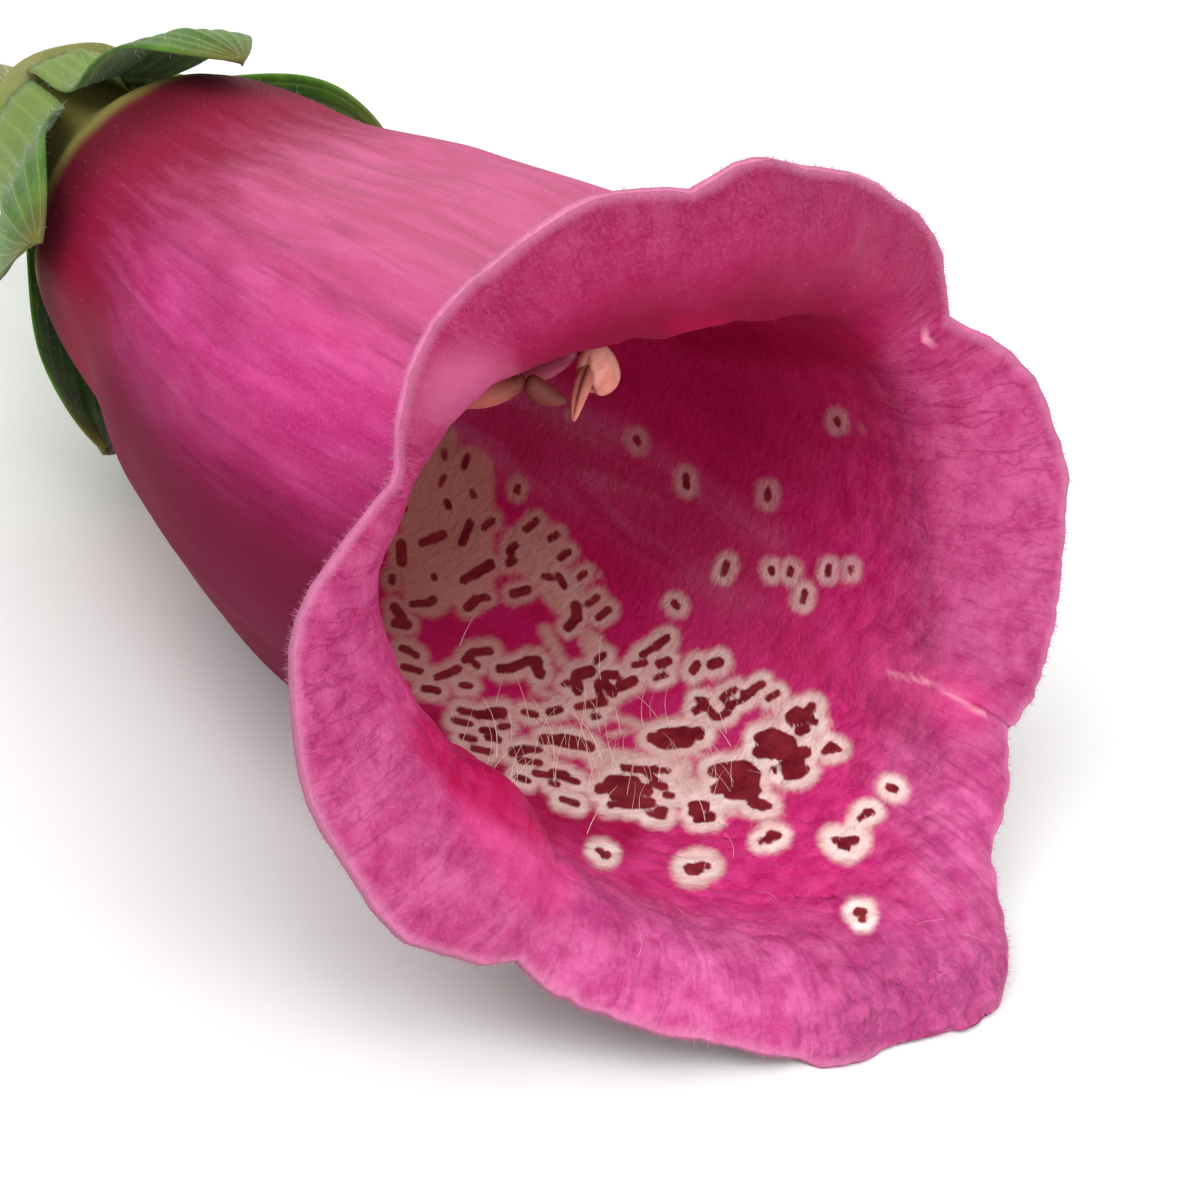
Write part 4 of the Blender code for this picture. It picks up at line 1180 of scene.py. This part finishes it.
# Two sacs to an anther, lying end to end: how far aside each stands and is raised, how far its tip hangs down, its
# length, width and height, how much it draws to a point, and how brown it is at either end
plainSacs = [
    dict(aside=side * 0.9, raised=-0.35, hang=side * 24.0, size=(2.4, 1.25, 1.15), point=0.15, ripe=[0.2, 0.5])
    for side in (-1, 1)]
pollenSacs = dict(
    long_near=[
        dict(aside=-0.62, raised=-0.12, hang=-18.0, size=(2.2, 1.05, 0.95), point=0.15, ripe=[0.25, 1.0]),
        dict(aside=0.92, raised=-0.10, hang=30.0, size=(1.3, 0.8, 0.9), point=0.5, ripe=[0.9, 1.0]),
    ],
    long_far=[
        dict(aside=-0.45, raised=-0.62, hang=118.0, size=(1.75, 0.7, 0.55), point=0.6, ripe=[0.7, 0.1]),
        dict(aside=0.45, raised=-0.30, hang=62.0, size=(1.75, 1.0, 1.25), point=-0.25, ripe=[0.15, 0.0]),
    ],
    short_near=plainSacs, short_far=plainSacs,
)
# A sac's rings, how blunt its ends are, and the groove of its split
sacForm = dict(
    rows=26, sides=32, least=0.03, blunt=0.8, split=0.42, splitAngle=270.0, splitWidth=17.0, splitRipe=0.6,
    squareness=0.05, endsLift=0.12,
)


def filamentPath(stamen):
    size, (x, along, z) = stamenSize, stamen["anther"]

    def nearWall(radius, at):
        turn = math.radians(stamen["footAngle"])
        return np.array([radius * math.sin(turn), at, -radius * math.cos(turn)])

    wall = float(tubeOutline(stamen["footAlong"], stamen["footAngle"])) - size["petalWall"]
    foot = nearWall(wall - size["footGap"] - size["radius"], stamen["footAlong"])
    waistRadius = float(tubeOutline(size["waistAlong"], stamen["footAngle"])) * size["waistShare"]
    waist = nearWall(waistRadius, size["waistAlong"])
    end = np.array([x, along - size["endBehind"] - size["gap"] * size["gapShare"], z + size["endLift"]])
    bendX = x * size["bendOut"] + waist[0] * size["bendWaist"]
    bend = np.array([bendX, along - size["bendBehind"], z - size["bendBelow"]])
    s = np.linspace(0, 1, size["rows"])[:, None]
    curve = (1 - s) ** 3 * foot + 3 * s * (1 - s) ** 2 * waist + 3 * s * s * (1 - s) * bend + s**3 * end
    return placed(*curve.T)


def sacSkin(stamen, sac):
    # one pollen sac: a long bean, split down its lower side, that can end in a point
    form, (length, width, height) = sacForm, sac["size"]
    around = np.linspace(0, 2 * math.pi, form["sides"], endpoint=False)
    rings, ripeness = [], []
    for t in np.linspace(0, math.pi, form["rows"]):
        tipward = (1 - math.cos(t)) / 2
        swollen = max(math.sin(t), form["least"]) ** form["blunt"] * (1 - sac["point"] * tipward)
        split = hump(np.degrees(around), form["splitAngle"], form["splitWidth"]) * math.sin(t)
        ring = (1 - form["split"] * split + form["squareness"] * np.cos(2 * around)) * swollen
        x = (tipward - 0.5) * length + 0 * around
        y = np.cos(around) * ring * width / 2
        z = np.sin(around) * ring * height / 2 + form["endsLift"] * math.cos(t) ** 2
        rings.append(np.stack([x, y, z], -1))
        ripeness.append(np.clip(np.interp(tipward, [0, 1], sac["ripe"]) + form["splitRipe"] * split, 0, 1))
    middle = np.array([sac["aside"], 0.0, sac["raised"]])
    tilt = Matrix.Rotation(math.radians(stamen["turn"]), 3, "Z")
    hang = Matrix.Rotation(math.radians(sac["hang"]), 3, "Y")
    leaned = np.array(rings) @ np.array(hang).T + middle
    return leaned @ np.array(tilt).T + placed(*stamen["anther"]), np.array(ripeness)


def filamentFinish():
    # a smooth fleshy thread, its pale pink darkened to a deep pink as painted shade
    material, tree, shader = newMaterial("stamen thread", Roughness=0.4, IOR=1.4, Subsurface_Weight=0.35,
                                         Subsurface_Radius=(0.8, 0.4, 0.4), Subsurface_Scale=0.5 * mm)
    place = add(tree, "ShaderNodeTexCoord").outputs["Object"]
    blushAndShade = add(tree, "ShaderNodeTexNoise", {"Vector": place, "Scale": 1 / (3.0 * mm), "Detail": 2.0})
    # both tints of the thread are painted shade
    dress(tree, shader, layered(tree, "#C07088", (blushAndShade, "#A84A6C")))
    return material


def antherFinish():
    # a papery sac dusted with pollen: salmon, and brown along its split and where it is ripe
    material, tree, shader = newMaterial("anther sac", Roughness=0.6, IOR=1.4, Subsurface_Weight=0.25,
                                         Subsurface_Radius=(0.8, 0.4, 0.3), Subsurface_Scale=0.3 * mm)
    ripe = add(tree, "ShaderNodeAttribute", attribute_name="ripe").outputs["Fac"]
    place = add(tree, "ShaderNodeTexCoord").outputs["Object"]
    mottle, dust = (
        add(tree, "ShaderNodeTexNoise", {
            "Vector": place, "Scale": 1 / (size * mm), "Detail": detail, "Roughness": rough})
        for size, detail, rough in ((0.6, 4.0, 0.65), (0.06, 2.0, 0.7)))
    colour = layered(
        tree, "#E6A698", (mottle, 0.35, 0.65, 1.0, "#D4846E"), (ripe, 0.1, 0.6, 0.8, "#A85248"),
        (ripe, 0.6, 1.0, 0.85, "#5A1E16"))
    dress(tree, shader, colour, (dust, 0.03, 0.8))
    return material


def makeStamens():
    thread, papery, size = filamentFinish(), antherFinish(), stamenSize
    for name, stamen in stamens.items():
        path = filamentPath(stamen)
        radii = size["radius"] * (1 - size["taper"] * np.linspace(0, 1, len(path)))
        radii[-size["tipRows"]:] *= np.linspace(1, size["tipShare"], size["tipRows"])
        filament = makePiece("stamen_thread_" + name, [loft(ringsAlong(path, radii, size["sides"]))], thread)
        mounted(filament, "filament_" + name)
        skins = [sacSkin(stamen, sac) for sac in pollenSacs[name]]
        ripe = np.concatenate([
            np.append(ripeness.ravel(), [ripeness[0, 0], ripeness[-1, 0]]) for _, ripeness in skins])
        anther = makePiece("anther_sacs_" + name, [loft(rings) for rings, _ in skins], papery, dict(ripe=ripe))
        mounted(anther, "anther_" + name)


makeStamens()
print("stamens made")


# Floor and light

studio = dict(floor=3.0, paperGrain=40.0, world=0.5, aim=(0, -0.01, 0.01))  # floor and aim in metres
# Where each lamp stands and how wide it is, in metres, and its power
lights = dict(
    key=((-0.28, -0.1, 0.5), 0.45, 1.6), high=((-0.05, -0.42, 0.48), 0.35, 1.6),
    front=((-0.12, -0.62, 0.22), 0.4, 1.3), back=((0.4, 0.4, 0.35), 0.4, 0.9),
)


def makeFloor():
    # plain matt paper, almost white
    material, tree, shader = newMaterial("matt paper", Roughness=0.9)
    place = add(tree, "ShaderNodeTexCoord").outputs["Object"]
    shade = add(tree, "ShaderNodeTexNoise", {"Vector": place, "Scale": 1 / (studio["paperGrain"] * mm)})
    dress(tree, shader, layered(tree, "#F4F4F3", (shade, "#F8F8F7")))
    bpy.ops.mesh.primitive_plane_add(size=studio["floor"])
    floor = bpy.context.object
    floor.name = "floor"
    floor.data.materials.append(material)


def makeLights():
    for name, (place, side, power) in lights.items():
        data = bpy.data.lights.new(name, "AREA")
        data.size, data.energy = side, power
        light = linked(name, data)
        light.location = place
        light.rotation_euler = (Vector(studio["aim"]) - Vector(place)).to_track_quat("-Z", "Y").to_euler()


def makeWorld():
    world = bpy.data.worlds.new("pale room")
    world.use_nodes = True
    background = world.node_tree.nodes["Background"]
    background.inputs["Color"].default_value = (1.0, 1.0, 1.0, 1.0)
    background.inputs["Strength"].default_value = studio["world"]
    bpy.context.scene.world = world
    bpy.context.scene.view_settings.view_transform = "Standard"


makeFloor()
makeLights()
makeWorld()
print("floor and light made")
